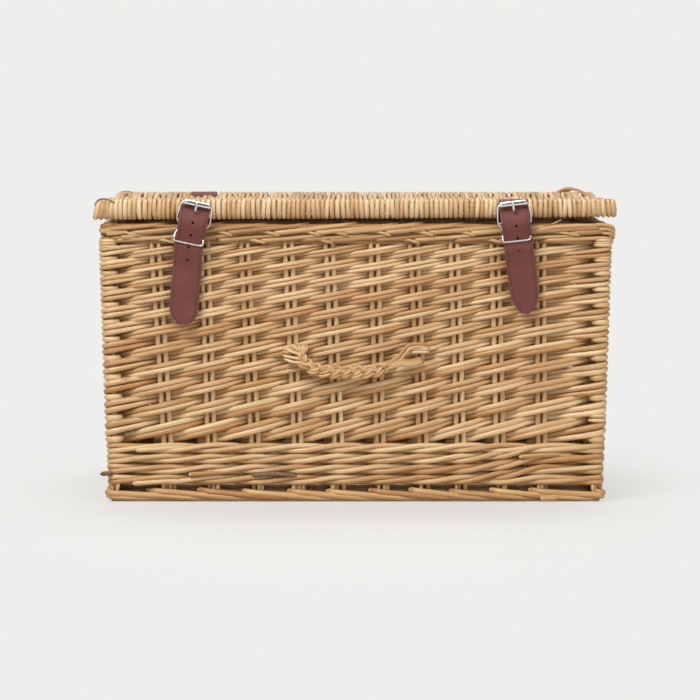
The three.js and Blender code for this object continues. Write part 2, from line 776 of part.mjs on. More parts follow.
function strap(side) {
  const line = strapLine(side);
  const halfWidths = line.map(() => strapWidth / 2);
  halfWidths[line.length - 2] *= strapTipShoulder;
  halfWidths[line.length - 1] *= strapTipEnd;
  const rings = line.map((point, i) => {
    const before = line[Math.max(i - 1, 0)];
    const after = line[Math.min(i + 1, line.length - 1)];
    const along = new THREE.Vector3().subVectors(after, before).normalize();
    const through = at(0, -along.z, along.y).multiplyScalar(leather / 2);
    const across = at(halfWidths[i], 0, 0);
    return [
      point.clone().add(through).add(across), point.clone().add(through).sub(across),
      point.clone().sub(through).sub(across), point.clone().sub(through).add(across),
    ];
  });
  let tail = solid(sweep(rings));
  for (let i = 0; i < 5; i += 1) {
    const z = prongHolePlace - i * holeSpacing;
    const long = i === 0 ? prongHoleLength : 1;
    const tool = rod(at(0, -strapWidth, 0), at(0, strapWidth, 0), holeRadius, 8).scale(1, 1, long);
    tail = tail.subtract(solid(tool.translate(0, 0, z)));
  }
  const placed = geometryOf(tail).applyMatrix4(buckleMatrix(side));
  const turn = Array.from({ length: 13 }, (_, i) => {
    const start = Math.PI - strapLeaves + loopLap;
    const angle = start - i / 12 * (start + strapEnds);
    return [Math.cos(angle), Math.sin(angle)];
  });
  const outline = [
    ...turn.map(([c, u]) => new THREE.Vector2(-rollPlace + loopOuter * c, rollHeight + loopOuter * u)),
    ...turn.map(([c, u]) => new THREE.Vector2(-rollPlace + loopInner * c, rollHeight + loopInner * u))
      .reverse(),
  ];
  const loop = alongX(outline, strapWidth).translate(side * strapPlace, 0, 0);
  return geometryOf(join([loop, placed]));
}

// Handle: a plait that hangs between two ties, each tie a loop of rod round a stake pair
const tiePlace = -(halfDepth + wallHalf + eyeRadius + eyeClear);
const tieHalf = pairHalf + 2 * fit + tieRadius;

function handleEnds() {
  const count = stakeCount(wallSpan);
  const first = Math.round((count - 1 - handleSpan) / 2);
  return [first, first + handleSpan].map((i) => stakePlace(i, count, handleHeight));
}

function tieLoop(x, radius) {
  const back = -(halfDepth - wallHalf) + fit + tieRadius;
  const points = [];
  const corners = [[1, 1, back], [-1, 1, back], [-1, -1, tiePlace], [1, -1, tiePlace]];
  for (const [sx, sy, y] of corners) {
    const first = at(x + sx * tieHalf, y - sy * tieBend, handleHeight);
    const second = at(x + sx * (tieHalf - tieBend), y, handleHeight);
    points.push(...(sx * sy > 0 ? [first, second] : [second, first]));
  }
  return flatLoop(points, radius, 8);
}

// A closed rod loop lying level
function flatLoop(points, radius, sides) {
  const rings = points.map((point, i) => {
    const before = points[(i + points.length - 1) % points.length];
    const after = points[(i + 1) % points.length];
    const inward = new THREE.Vector3().subVectors(point, before).normalize();
    const onward = new THREE.Vector3().subVectors(after, point).normalize();
    const along = new THREE.Vector3().addVectors(inward, onward).normalize();
    const stretch = 1 / along.dot(onward);
    const side = at(-along.y, along.x, 0).multiplyScalar(stretch);
    return Array.from({ length: sides }, (_, k) => {
      const angle = (k + 0.5) * 2 * Math.PI / sides;
      return point.clone().addScaledVector(side, radius * Math.cos(angle))
        .add(at(0, 0, radius * Math.sin(angle)));
    });
  });
  return sweep(rings, true);
}

function handle() {
  const [left, right] = handleEnds();
  const eyeLength = 2 * (tieHalf - tieRadius - 2 * fit);
  const eyes = [left, right].map((x) => sleeve(
    tiePlace, handleHeight, tieRadius + fit, eyeRadius, eyeLength, 12,
  ).translate(x, 0, 0));
  const top = handleHeight - eyeRadius + plaitGrip;
  const low = handleHeight - handleSag;
  const curve = new THREE.CatmullRomCurve3(Array.from({ length: 9 }, (_, i) => at(
    left + (right - left) * i / 8,
    tiePlace - plaitProud,
    low + (top - low) * Math.abs(i / 4 - 1) ** plaitCurve,
  )));
  const steps = 2 * Math.round(curve.getLength() / plaitPitch);
  const rings = Array.from({ length: steps + 1 }, (_, i) => {
    const share = i / steps;
    const point = curve.getPointAt(share);
    const along = curve.getTangentAt(share);
    const out = at(0, 1, 0);
    const side = new THREE.Vector3().crossVectors(along, out).normalize();
    const taper = plaitEnd + (1 - plaitEnd) * Math.min(1, Math.min(share, 1 - share) / plaitTaper);
    const bulge = i % 2 === 0 ? plaitWaist : 1;
    return Array.from({ length: 6 }, (_, k) => {
      const angle = (k + 0.5) * Math.PI / 3;
      return point.clone()
        .addScaledVector(side, plaitWidth / 2 * taper * bulge * Math.cos(angle))
        .addScaledVector(out, plaitThickness / 2 * taper * Math.sin(angle));
    });
  });
  const bores = join([left, right].map((x) => rod(
    at(x - eyeLength, tiePlace, handleHeight), at(x + eyeLength, tiePlace, handleHeight),
    tieRadius + fit, 12,
  )));
  return geometryOf(join([...eyes, sweep(rings)]).subtract(bores));
}

// Materials
const finish = (color, roughness, metalness = 0) => new THREE.MeshStandardMaterial({
  color, roughness, metalness,
});
const straw = finish('#c9a063', 0.62);
const paleStraw = finish('#d8b988', 0.62);
const darkStraw = finish('#a97f4a', 0.68);
const leatherBrown = finish('#744642', 0.55);
const brightWire = finish('#d9dadb', 0.22, 1);

// Assembly. The prongs reach further forward than the lid reaches back, and the origin is midway
const reachFront = -barPlace + headOut + rollerRadius + fit + 2 * prongRadius;
const reachBack = lidHalfDepth;
const chest = new THREE.Group();
chest.position.y = (reachFront - reachBack) / 2;

function place(name, shape, material, parent = chest) {
  const geometry = shape.isBufferGeometry ? shape : geometryOf(shape);
  const mesh = new THREE.Mesh(geometry, material);
  mesh.name = name;
  parent.add(mesh);
  return mesh;
}

function turned(quarter, mesh) {
  mesh.rotation.z = quarter * Math.PI / 2;
  return mesh;
}

place('foot_border', footBorder(), darkStraw);
place('outer_wale', outerWale(), straw);
place('inner_wale', innerWale(), straw);
place('base_weave', baseWeave(), straw);
for (let i = 0; i < baseSticks; i += 1) {
  const halfX = halfSpan - waleOuter - fit;
  const middle = waleBottom + baseLift + baseThickness / 2;
  const y = baseStickPlace(i);
  place(`base_stick_${i + 1}`, rod(at(-halfX, y, middle), at(halfX, y, middle), lidStickRadius, 6), straw);
}

const walls = [
  ['front', halfSpan, halfDepth],
  ['right', halfDepth, halfSpan],
  ['rear', halfSpan, halfDepth],
  ['left', halfDepth, halfSpan],
];
walls.forEach(([name, half, plane], quarter) => {
  let weave = wovenWall(half, plane);
  if (name === 'front') {
    for (const side of [-1, 1]) {
      const space = chapePassage(fit).translate(side * chapeShift, 0, 0);
      weave = weave.subtract(solid(space.applyMatrix4(buckleMatrix(side))));
    }
    for (const x of handleEnds()) {
      weave = weave.subtract(solid(tieLoop(x, tieRadius + fit)));
    }
  }
  if (name === 'rear') {
    for (const x of hingePlaces()) {
      weave = weave.subtract(solid(hingeSpace(x).rotateZ(Math.PI)));
    }
  }
  turned(quarter, place(`${name}_weave`, weave, straw));
  turned(quarter, place(`${name}_stakes`, borderedStakes(half, plane), paleStraw));
});

for (const [sideName, sx] of [['left', -1], ['right', 1]]) {
  for (const [endName, sy] of [['front', -1], ['rear', 1]]) {
    const x = sx * halfSpan;
    const y = sy * halfDepth;
    const post = rod(at(x, y, footLedge + fit), at(x, y, weaveTop), postRadius, 12);
    place(`${endName}_${sideName}_post`, post, paleStraw);
  }
}

place('lid_weave', lidWeave(), paleStraw);
for (const [name, y] of [['front', -rollPlace], ['rear', rollPlace]]) {
  const stick = rod(
    at(-lidHalfWidth + 1, y, rollHeight), at(lidHalfWidth - 1, y, rollHeight), edgeStickRadius, 12,
  );
  place(`lid_${name}_stick`, stick, darkStraw);
}
for (let i = 0; i < lidSticks; i += 1) {
  const y = lidStickPlace(i);
  const stick = rod(
    at(-lidHalfWidth + 1, y, rollHeight), at(lidHalfWidth - 1, y, rollHeight), lidStickRadius, 6,
  );
  place(`lid_stick_${i + 1}`, stick, darkStraw);
}

hingePlaces().forEach((x, i) => {
  place(`${i === 0 ? 'right' : 'left'}_hinge_loop`, hingeLoop(x), leatherBrown);
});

for (const [name, side] of [['left', -1], ['right', 1]]) {
  const fittings = [
    ['chape', chape(side), leatherBrown],
    ['buckle_frame', geometryOf(buckleFrame()), brightWire],
    ['roller', roller(), brightWire],
    ['prong', prong(), brightWire],
  ];
  for (const [piece, geometry, material] of fittings) {
    place(`${name}_${piece}`, geometry.applyMatrix4(buckleMatrix(side)), material);
  }
  place(`${name}_strap`, strap(side), leatherBrown);
}

place('front_handle', handle(), straw);
handleEnds().forEach((x, i) => {
  place(`${i === 0 ? 'left' : 'right'}_handle_tie`, tieLoop(x, tieRadius), straw);
});

export default chest;
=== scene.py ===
import math
import random
import bpy
import bmesh
import numpy as np
from mathutils import Matrix, Vector


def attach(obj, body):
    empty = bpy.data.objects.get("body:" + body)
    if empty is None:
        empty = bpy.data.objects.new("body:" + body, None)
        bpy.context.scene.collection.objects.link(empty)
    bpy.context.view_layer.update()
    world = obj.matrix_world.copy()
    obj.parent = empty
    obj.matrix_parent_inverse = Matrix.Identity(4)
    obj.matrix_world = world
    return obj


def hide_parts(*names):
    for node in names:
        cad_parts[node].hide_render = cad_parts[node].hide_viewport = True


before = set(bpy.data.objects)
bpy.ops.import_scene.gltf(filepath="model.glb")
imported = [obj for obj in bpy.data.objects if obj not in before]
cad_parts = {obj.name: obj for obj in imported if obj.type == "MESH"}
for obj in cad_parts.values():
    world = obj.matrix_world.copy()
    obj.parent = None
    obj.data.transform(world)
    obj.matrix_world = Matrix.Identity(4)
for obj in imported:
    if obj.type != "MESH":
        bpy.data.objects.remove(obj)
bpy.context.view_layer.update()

print("stage: frame loaded")
mm = 0.001
shift = Vector((0, 5.0, 0))  # the drawing is about the stake rows, the chest about its footprint
dice = random.Random(41)
collection = bpy.context.scene.collection


def link(name, mesh, material=None):
    thing = bpy.data.objects.new(name, mesh)
    collection.objects.link(thing)
    if material:
        mesh.materials.clear()
        mesh.materials.append(material)
    return thing


# the point at a given time on the smooth curve through four points
def onCurve(spots, times, time):
    def between(first, second, low, high):
        return (first * (times[high] - time) + second * (time - times[low])) / (times[high] - times[low])

    a, b, c = (between(spots[j], spots[j + 1], j, j + 1) for j in range(3))
    return between(between(a, b, 0, 2), between(b, c, 1, 3), 1, 2)


# smooth line through the given points, evenly divided
def smoothPath(controls, spacing, closed=False):
    spots = [Vector(c) for c in controls]
    if closed:
        spots = [spots[-1]] + spots + spots[:2]
    else:
        spots = [spots[0] * 2 - spots[1]] + spots + [spots[-1] * 2 - spots[-2]]
    line = []
    for i in range(1, len(spots) - 2):
        near = spots[i - 1:i + 3]
        times = [0.0]
        for p, q in zip(near, near[1:]):
            times.append(times[-1] + max((q - p).length, 0.01) ** 0.5)
        steps = max(1, round((near[2] - near[1]).length / spacing))
        for k in range(steps):
            line.append(onCurve(near, times, times[1] + (times[2] - times[1]) * k / steps))
    if not closed:
        line.append(spots[-2])
    return line


# the length of a line up to each of its points
def runLengths(points):
    runs = [0.0]
    for a, b in zip(points, points[1:]):
        runs.append(runs[-1] + (b - a).length)
    return runs


roundEnd = ((0.0, 0.9, 0.2), (-0.35, 0.68, 0.8), (-0.5, 0.35, 1.0))  # reach, girth and cut of each ring
closingGirth = 0.03  # the last ring, which closes a rod's end


# a rod along a line; its ends are sawn flat, or rounded at the start
def newRod(path, radius, tip=None, tone=None, closed=False, rounded=False):
    count = len(path)
    tip = radius if tip is None else tip
    radii = [radius + (tip - radius) * i / max(1, count - 1) for i in range(count)]
    path = [Vector(p) for p in path]
    cuts = [0.0] * count
    if not closed:
        way = (path[1] - path[0]).normalized()
        if rounded:
            for reach, girth, cut in roundEnd:
                path.insert(0, path[0] + way * reach * radius)
                radii.insert(0, radius * girth)
                cuts.insert(0, cut)
        path.insert(0, path[0].copy())
        radii.insert(0, closingGirth)
        cuts.insert(0, 1.0)
        path.append(path[-1].copy())
        radii.append(closingGirth)
        cuts.append(1.0)
    tone = tone or (dice.random(), dice.random(), dice.random())
    return {"path": path, "radii": radii, "cuts": cuts, "tone": tone, "closed": closed}


# keeps each rod's length, tone and cut ends on its points, for the bark
def keepGrain(mesh, rods, sides):
    grain, tones, cuts = [], [], []
    ring = np.arange(sides) * 2 * math.pi / sides
    for rod in rods:
        spots = np.array([tuple(p) for p in rod["path"]])
        runs = np.concatenate([[0], np.cumsum(np.linalg.norm(np.diff(spots, axis=0), axis=1))])
        block = np.zeros((len(spots), sides, 3))
        block[:, :, 0] = np.cos(ring)
        block[:, :, 1] = np.sin(ring)
        block[:, :, 2] = runs[:, None] * mm
        grain.append(block.reshape(-1, 3))
        tones.append(np.tile(np.array(rod["tone"]), (len(spots) * sides, 1)))
        cuts.append(np.repeat(np.array(rod["cuts"]), sides))
    grain, tones, cuts = np.concatenate(grain), np.concatenate(tones), np.concatenate(cuts)
    assert len(grain) == len(mesh.vertices), (mesh.name, len(grain), len(mesh.vertices))
    for label, kind, values in (("rodGrain", "FLOAT_VECTOR", grain), ("rodTone", "FLOAT_VECTOR", tones)):
        layer = mesh.attributes.new(label, kind, "POINT")
        layer.data.foreach_set("vector", values.astype(np.float32).ravel())
    layer = mesh.attributes.new("rodCut", "FLOAT", "POINT")
    layer.data.foreach_set("value", cuts.astype(np.float32))


# one mesh of many round rods
def rodMesh(name, rods, detail):
    curve = bpy.data.curves.new(name + "_line", "CURVE")
    curve.dimensions = "3D"
    curve.bevel_depth = mm
    curve.bevel_resolution = detail
    for rod in rods:
        spline = curve.splines.new("POLY")
        spline.points.add(len(rod["path"]) - 1)
        flat = []
        last = None
        for p in rod["path"]:
            if last is not None and (p - last).length < 0.002:  # equal points would give no direction
                p = p + Vector((0.003, 0.002, 0.001))
            last = p
            q = (p + shift) * mm
            flat.extend((q.x, q.y, q.z, 1.0))
        spline.points.foreach_set("co", flat)
        spline.points.foreach_set("radius", rod["radii"])
        spline.use_smooth = True
        spline.use_cyclic_u = rod["closed"]
    holder = bpy.data.objects.new(name + "_line", curve)
    collection.objects.link(holder)
    graph = bpy.context.evaluated_depsgraph_get()
    mesh = bpy.data.meshes.new_from_object(holder.evaluated_get(graph), depsgraph=graph)
    mesh.name = name
    bpy.data.objects.remove(holder)
    keepGrain(mesh, rods, 4 + 2 * detail)
    return mesh


def rodPiece(name, rods, body, material, replaced=(), detail=1):
    thing = link(name, rodMesh(name, rods, detail), material)
    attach(thing, body)
    if replaced:
        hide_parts(*replaced)
    return thing


# materials
def nodeMaker(tree):
    def make(kind, **values):
        node = tree.nodes.new(kind)
        for key, value in values.items():
            if hasattr(node, key):
                setattr(node, key, value)
        return node
    return make


def ramp(node, stops):
    marks = node.color_ramp.elements
    for mark, (place, color) in ((marks[0], stops[0]), (marks[1], stops[-1])):
        mark.position = place
        mark.color = (*color, 1)
    for place, color in stops[1:-1]:
        marks.new(place).color = (*color, 1)


def setRange(node, low, high, least, most):
    for k, number in enumerate((low, high, least, most), start=1):
        node.inputs[k].default_value = number


def newMaterial(name):
    material = bpy.data.materials.new(name)
    material.use_nodes = True
    tree = material.node_tree
    return material, tree, nodeMaker(tree), tree.nodes["Principled BSDF"]


# bark from pale to dark by the rod's tone, with stains, streaks, buds and pale cut ends
def barkGroup():
    group = bpy.data.node_groups.new("willow_bark", "ShaderNodeTree")
    for name, way, kind in (
            ("Pale", "INPUT", "Color"), ("Dark", "INPUT", "Color"), ("Color", "OUTPUT", "Color"),
            ("Roughness", "OUTPUT", "Float"), ("Normal", "OUTPUT", "Vector")):
        group.interface.new_socket(name, in_out=way, socket_type="NodeSocket" + kind)
    make = nodeMaker(group)
    wire = group.links.new
    given = make("NodeGroupInput")
    out = make("NodeGroupOutput")
    grain = make("ShaderNodeAttribute", attribute_name="rodGrain")
    tone = make("ShaderNodeAttribute", attribute_name="rodTone")
    cut = make("ShaderNodeAttribute", attribute_name="rodCut")
    parts = make("ShaderNodeSeparateXYZ")
    wire(tone.outputs["Vector"], parts.inputs[0])
    away = make("ShaderNodeVectorMath", operation="SCALE")  # each rod has its own part of the noise
    away.inputs["Scale"].default_value = 37.0
    wire(tone.outputs["Vector"], away.inputs[0])

    def along(x, y, z):
        stretch = make("ShaderNodeVectorMath", operation="MULTIPLY")
        stretch.inputs[1].default_value = (x, y, z)
        wire(grain.outputs["Vector"], stretch.inputs[0])
        moved = make("ShaderNodeVectorMath", operation="ADD")
        wire(stretch.outputs[0], moved.inputs[0])
        wire(away.outputs[0], moved.inputs[1])
        return moved.outputs[0]

    def noiseOf(place, scale, detail):
        node = make("ShaderNodeTexNoise")
        node.inputs["Scale"].default_value = scale
        node.inputs["Detail"].default_value = detail
        wire(place, node.inputs["Vector"])
        return node.outputs["Fac"]

    def mixOf(factor, first, second):
        node = make("ShaderNodeMix", data_type="RGBA")
        for source, target in ((factor, 0), (first, 6), (second, 7)):
            if hasattr(source, "is_output"):
                wire(source, node.inputs[target])
            else:
                node.inputs[target].default_value = source
        return node.outputs[2]

    def rangeOf(value, low, high, least, most):
        node = make("ShaderNodeMapRange")
        setRange(node, low, high, least, most)
        wire(value, node.inputs[0])
        return node.outputs[0]

    stains = noiseOf(along(0.5, 0.5, 22), 1.0, 3)
    streaks = noiseOf(along(1.6, 1.6, 9), 2.2, 4)
    fibres = noiseOf(along(5, 5, 30), 2.5, 2)
    shade = make("ShaderNodeMath", operation="MULTIPLY_ADD")
    wire(parts.outputs[0], shade.inputs[0])
    shade.inputs[1].default_value = 0.9
    wire(rangeOf(stains, 0.3, 0.7, -0.2, 0.35), shade.inputs[2])
    base = mixOf(shade.outputs[0], given.outputs["Dark"], given.outputs["Pale"])
    hued = mixOf(rangeOf(parts.outputs[1], 0.72, 1.0, 0, 0.22), base, (0.50, 0.42, 0.15, 1))
    hued = mixOf(rangeOf(parts.outputs[2], 0.7, 1.0, 0, 0.25), hued, (0.56, 0.27, 0.13, 1))
    lined = mixOf(rangeOf(streaks, 0.35, 0.75, 0.0, 0.55), hued, (0.26, 0.115, 0.032, 1))
    buds = noiseOf(along(1.1, 1.1, 75), 1.0, 1)
    spotted = mixOf(rangeOf(buds, 0.735, 0.8, 0, 0.75), lined, (0.16, 0.07, 0.03, 1))
    ends = mixOf(rangeOf(cut.outputs["Fac"], 0.25, 0.6, 0, 0.8), spotted, (0.78, 0.64, 0.42, 1))
    wire(ends, out.inputs["Color"])
    wire(rangeOf(streaks, 0.3, 0.7, 0.36, 0.58), out.inputs["Roughness"])
    bump = make("ShaderNodeBump")
    bump.inputs["Strength"].default_value = 0.25
    bump.inputs["Distance"].default_value = 0.0004
    wire(fibres, bump.inputs["Height"])
    wire(bump.outputs[0], out.inputs["Normal"])
    return group


bark = barkGroup()


def willow(name, pale, dark):
    material, tree, make, shader = newMaterial(name)
    group = make("ShaderNodeGroup")
    group.node_tree = bark
    group.inputs["Pale"].default_value = (*pale, 1)
    group.inputs["Dark"].default_value = (*dark, 1)
    for output, socket in (("Color", "Base Color"), ("Roughness", "Roughness"), ("Normal", "Normal")):
        tree.links.new(group.outputs[output], shader.inputs[socket])
    shader.inputs["Specular IOR Level"].default_value = 0.55
    shader.inputs["Coat Weight"].default_value = 0.25
    shader.inputs["Coat Roughness"].default_value = 0.38
    return material


wallWillow = willow("wall_willow", (0.82, 0.60, 0.33), (0.455, 0.213, 0.059))
stakeWillow = willow("stake_willow", (0.80, 0.595, 0.33), (0.50, 0.26, 0.085))
lidWillow = willow("lid_willow", (0.81, 0.61, 0.37), (0.48, 0.265, 0.095))
rimWillow = willow("rim_willow", (0.60, 0.38, 0.168), (0.31, 0.132, 0.034))
footWillow = willow("foot_willow", (0.70, 0.435, 0.19), (0.40, 0.165, 0.043))


def leatherMaterial():
    material, tree, make, shader = newMaterial("strap_leather")
    wire = tree.links.new
    place = make("ShaderNodeTexCoord").outputs["Object"]
    grain = make("ShaderNodeTexVoronoi", feature="F1")
    grain.inputs["Scale"].default_value = 1500
    clouds = make("ShaderNodeTexNoise")
    clouds.inputs["Scale"].default_value = 60
    clouds.inputs["Detail"].default_value = 5
    wire(place, grain.inputs["Vector"])
    wire(place, clouds.inputs["Vector"])
    color = make("ShaderNodeValToRGB")
    ramp(color, [(0.3, (0.122, 0.033, 0.027)), (0.55, (0.139, 0.038, 0.032)), (0.8, (0.158, 0.045, 0.039))])
    wire(clouds.outputs["Fac"], color.inputs[0])
    wire(color.outputs[0], shader.inputs["Base Color"])
    rough = make("ShaderNodeMapRange")
    setRange(rough, 0.3, 0.7, 0.52, 0.68)
    shader.inputs["Specular IOR Level"].default_value = 0.35
    wire(clouds.outputs["Fac"], rough.inputs[0])
    wire(rough.outputs[0], shader.inputs["Roughness"])
    bump = make("ShaderNodeBump")
    bump.inputs["Strength"].default_value = 0.3
    bump.inputs["Distance"].default_value = 0.0003
    wire(grain.outputs["Distance"], bump.inputs["Height"])
    wire(bump.outputs[0], shader.inputs["Normal"])
    return material


# clouds of a lighter and a darker colour, between the two given roughnesses
def plainMaterial(name, light, dark, scale, rough, metallic=0.0):
    material, tree, make, shader = newMaterial(name)
    wire = tree.links.new
    shader.inputs["Metallic"].default_value = metallic
    noise = make("ShaderNodeTexNoise")
    noise.inputs["Scale"].default_value = scale
    noise.inputs["Detail"].default_value = 4
    wire(make("ShaderNodeTexCoord").outputs["Object"], noise.inputs["Vector"])
    color = make("ShaderNodeValToRGB")
    ramp(color, [(0.35, dark), (0.7, light)])
    wire(noise.outputs["Fac"], color.inputs[0])
    wire(color.outputs[0], shader.inputs["Base Color"])
    spread = make("ShaderNodeMapRange")
    setRange(spread, 0.3, 0.7, *rough)
    wire(noise.outputs["Fac"], spread.inputs[0])
    wire(spread.outputs[0], shader.inputs["Roughness"])
    return material


leather = leatherMaterial()
thread = plainMaterial("stitch_thread", (0.12, 0.04, 0.036), (0.07, 0.022, 0.02), 900, (0.6, 0.8))
chrome = plainMaterial("bright_roller", (0.88, 0.88, 0.88), (0.80, 0.80, 0.80), 300, (0.10, 0.15), 1.0)
bentWire = plainMaterial("bright_wire", (0.93, 0.93, 0.92), (0.86, 0.86, 0.85), 300, (0.30, 0.38), 1.0)
# dark twig bark, also put on rods whose dark colour is painted shade in the gaps under the wale and inside the
# rim
twigAndShade = plainMaterial("dark_twig_and_shade", (0.25, 0.15, 0.075), (0.11, 0.06, 0.03), 500, (0.5, 0.7))
print("stage: materials")

# sizes shared by the woven pieces, in millimetres
body = {
    "halfSpan": 214.3, "halfDepth": 150.8, "spacing": 37.0, "lean": 5.8, "flare": 2.4,
    "weaveLow": 50.3, "weaveHigh": 229.4, "bands": 23, "lowBand": 9.85, "highBand": 6.0,
    "stake": 2.3, "rodOffset": 3.1, "post": 3.3, "corner": 8.4,
    "cornerHole": 5.0,  # the wall rods pass this much deeper inside a corner post, above the wale
    "wander": 1.2,  # how far a stake stands from its even place
}
front = {  # the front stakes as they stand, at two heights
    "highAt": 208.0, "lowAt": 55.0,
    "high": (-174.4, -131.6, -96.6, -58.1, -22.3, 17.0, 52.0, 87.0, 122.8, 162.2),
    "low": (-165.6, -127.2, -88.7, -51.1, -15.3, 21.4, 59.0, 92.2, 127.2, 163.9),
}
wallNormals = [Vector((0, -1, 0)), Vector((1, 0, 0)), Vector((0, 1, 0)), Vector((-1, 0, 0))]
wallCounts = [10, 7, 10, 7]
columns = []  # (wall, stake) in the order that the weave passes, a corner has stake -1
for wall, count in enumerate(wallCounts):
    columns.append((wall, -1))
    columns.extend((wall, i) for i in range(count))
wander = {}
for key in columns:
    most = body["wander"]
    wander[key] = (dice.uniform(-most, most), dice.uniform(-most, most))


def alongWall(normal):
    return Vector((-normal.y, normal.x, 0))


# half the length of a wall, and how far it stands from the middle
def wallSizes(wall):
    sizes = (body["halfSpan"], body["halfDepth"])
    return sizes if wall % 2 == 0 else sizes[::-1]


# how far the walls stand out at a height
def flareAt(z):
    low, high = body["weaveLow"], body["weaveHigh"]
    return body["flare"] * (2 * z - low - high) / (high - low)


# where a column stands at a height, with its wall's way out
def columnPlace(index, z):
    wall, stake = columns[index % len(columns)]
    normal = wallNormals[wall]
    along = alongWall(normal)
    half, plane = wallSizes(wall)
    spread = flareAt(z)
    if stake < 0:
        return normal * (plane + spread) - along * (half + spread), None
    if wall == 0:
        share = (z - front["lowAt"]) / (front["highAt"] - front["lowAt"])
        place = front["low"][stake] + share * (front["high"][stake] - front["low"][stake])
    else:
        low, high = wander[columns[index % len(columns)]]
        share = (z - body["weaveLow"]) / (body["weaveHigh"] - body["weaveLow"])
        lean = body["lean"] * (0.5 - share)
        place = (stake - (wallCounts[wall] - 1) / 2) * body["spacing"] + lean + low + share * (high - low)
    return normal * (plane + spread) + along * place, normal


# the height where a band of the weave begins; the bands get lower towards the top
def bandEdge(level):
    count = body["bands"]
    steps = [body["lowBand"] + (body["highBand"] - body["lowBand"]) * i / (count - 1) for i in range(count)]
    stretch = (body["weaveHigh"] - body["weaveLow"]) / sum(steps)
    if level <= 0:
        return body["weaveLow"] + level * steps[0] * stretch
    whole = min(int(level), count)
    height = body["weaveLow"] + stretch * sum(steps[:whole])
    more = level - whole
    return height + more * stretch * (steps[whole] if whole < count else steps[-1])


# points where a rod passes a column, outside for side 1 and inside for side -1
def passing(index, z, side, radius, rise=0.0):
    base, normal = columnPlace(index, z)
    if normal is not None:
        spot = base + normal * side * (body["stake"] + radius * 1.04)
        return [Vector((spot.x, spot.y, z))]
    wall = columns[index % len(columns)][0]
    outer = [wallNormals[wall - 1], wallNormals[wall]]
    middle = (outer[0] + outer[1]).normalized()
    if side < 0:
        deeper = body["cornerHole"] if z > body["weaveLow"] else 0.0
        spot = base - middle * (body["post"] + radius * 1.02 + deeper)
        return [Vector((spot.x, spot.y, z))]
    reach = body["corner"] - radius - (0.8 if z < body["weaveLow"] else 0.0)
    spots = []
    for k, way in enumerate((outer[0], middle, outer[1])):
        spot = base + way * reach
        spots.append(Vector((spot.x, spot.y, z + (k - 1) * rise)))
    return spots


# the paired rods of the walls
weave = {
    "girth": (1.10, 1.2), "jitter": 0.35, "spread": 0.25, "cornerSpread": 0.333, "cornerRise": 0.12,
    "butt": 13, "cornerButt": 3, "tip": 0.45, "cornerTip": 0.08, "tuck": 1.5,
    "pressedFrom": 16, "pressed": 0.18,  # the rods are pressed together round the corner posts
}


# one rod of a pair, which rises a band at each column that it passes
def strand(first, offset, radiusShare):
    count = body["bands"]
    controls = []
    jitter = [dice.uniform(-weave["jitter"], weave["jitter"]) for _ in range(count)]
    for level in range(count):
        low, high = bandEdge(level), bandEdge(level + 1)
        radius = (high - low) / 4 * radiusShare
        side = 1 if level % 2 == 1 else -1
        corner = columns[(first + level) % len(columns)][1] < 0
        spread = weave["cornerSpread"] if corner and side > 0 else weave["spread"]
        z = (low + high) / 2 + offset * (high - low) * spread + jitter[level]
        spots = passing(first + level, z, side, radius, (high - low) * weave["cornerRise"])
        if level == 0:
            nextSpot = passing(first + 1, z, 1, radius)[0]
            back = (spots[0] - nextSpot).normalized() * (weave["cornerButt"] if corner else weave["butt"])
            controls.append(Vector((spots[0].x + back.x, spots[0].y + back.y, z - weave["tuck"])))
        controls.extend(spots)
    ahead = controls[-1] - controls[-2]
    reach = weave["cornerTip"] if columns[(first + count - 1) % len(columns)][1] < 0 else weave["tip"]
    controls.append(controls[-1] + Vector((ahead.x, ahead.y, 0)) * reach + Vector((0, 0, weave["tuck"])))
    lowRadius = (bandEdge(1) - bandEdge(0)) / 4 * radiusShare
    highRadius = (bandEdge(count) - bandEdge(count - 1)) / 4 * radiusShare
    rod = newRod(smoothPath(controls, 6.0), lowRadius, highRadius)
    for i, spot in enumerate(rod["path"]):
        away = math.hypot(abs(spot.x) - body["halfSpan"], abs(spot.y) - body["halfDepth"])
        if away < weave["pressedFrom"] and 0 < i < len(rod["path"]) - 1:
            rod["radii"][i] *= 1 + weave["pressed"] * (1 - away / weave["pressedFrom"])
    return rod


weaveRods = []
for first in range(len(columns)):
    for offset in (-1, 1):
        weaveRods.append(strand(first, offset, dice.uniform(*weave["girth"])))
rodPiece("woven_walls", weaveRods, "basket", wallWillow,
         ["front_weave", "right_weave", "rear_weave", "left_weave"])
print("stage: walls", len(weaveRods))

# rods wound round the corner posts where the wall rods pass inside; here and there two thin ones
wrap = {"girth": 0.345, "twins": 0.12, "twinGirth": 0.2, "steps": 16}


def cornerWraps():
    rods = []
    for index, (wall, stake) in enumerate(columns):
        if stake >= 0:
            continue
        for level in [*range(0, body["bands"], 2), body["bands"] - 0.4]:
            low, high = bandEdge(level), bandEdge(level + 1)
            twin = dice.random() < wrap["twins"]
            radius = (high - low) * wrap["twinGirth" if twin else "girth"]
            for offset in ((-0.2, 0.2) if twin else (0.0,)):
                z = (low + high) / 2 + offset * (high - low) + dice.uniform(-0.2, 0.2)
                base, _ = columnPlace(index, z)
                turn, tilt = dice.uniform(0, 1), dice.uniform(0.1, 0.7)
                out = body["corner"] - radius
                path = []
                for step in range(wrap["steps"]):
                    angle = (step / wrap["steps"] + turn) * 2 * math.pi
                    x, y = base.x + out * math.cos(angle), base.y + out * math.sin(angle)
                    path.append(Vector((x, y, z + tilt * math.sin(angle + 0.8))))
                tone = (dice.uniform(0.45, 1.0), dice.random(), dice.random())
                rods.append(newRod(path, radius, tone=tone, closed=True))
    return rods


rodPiece("corner_wraps", cornerWraps(), "basket", wallWillow)

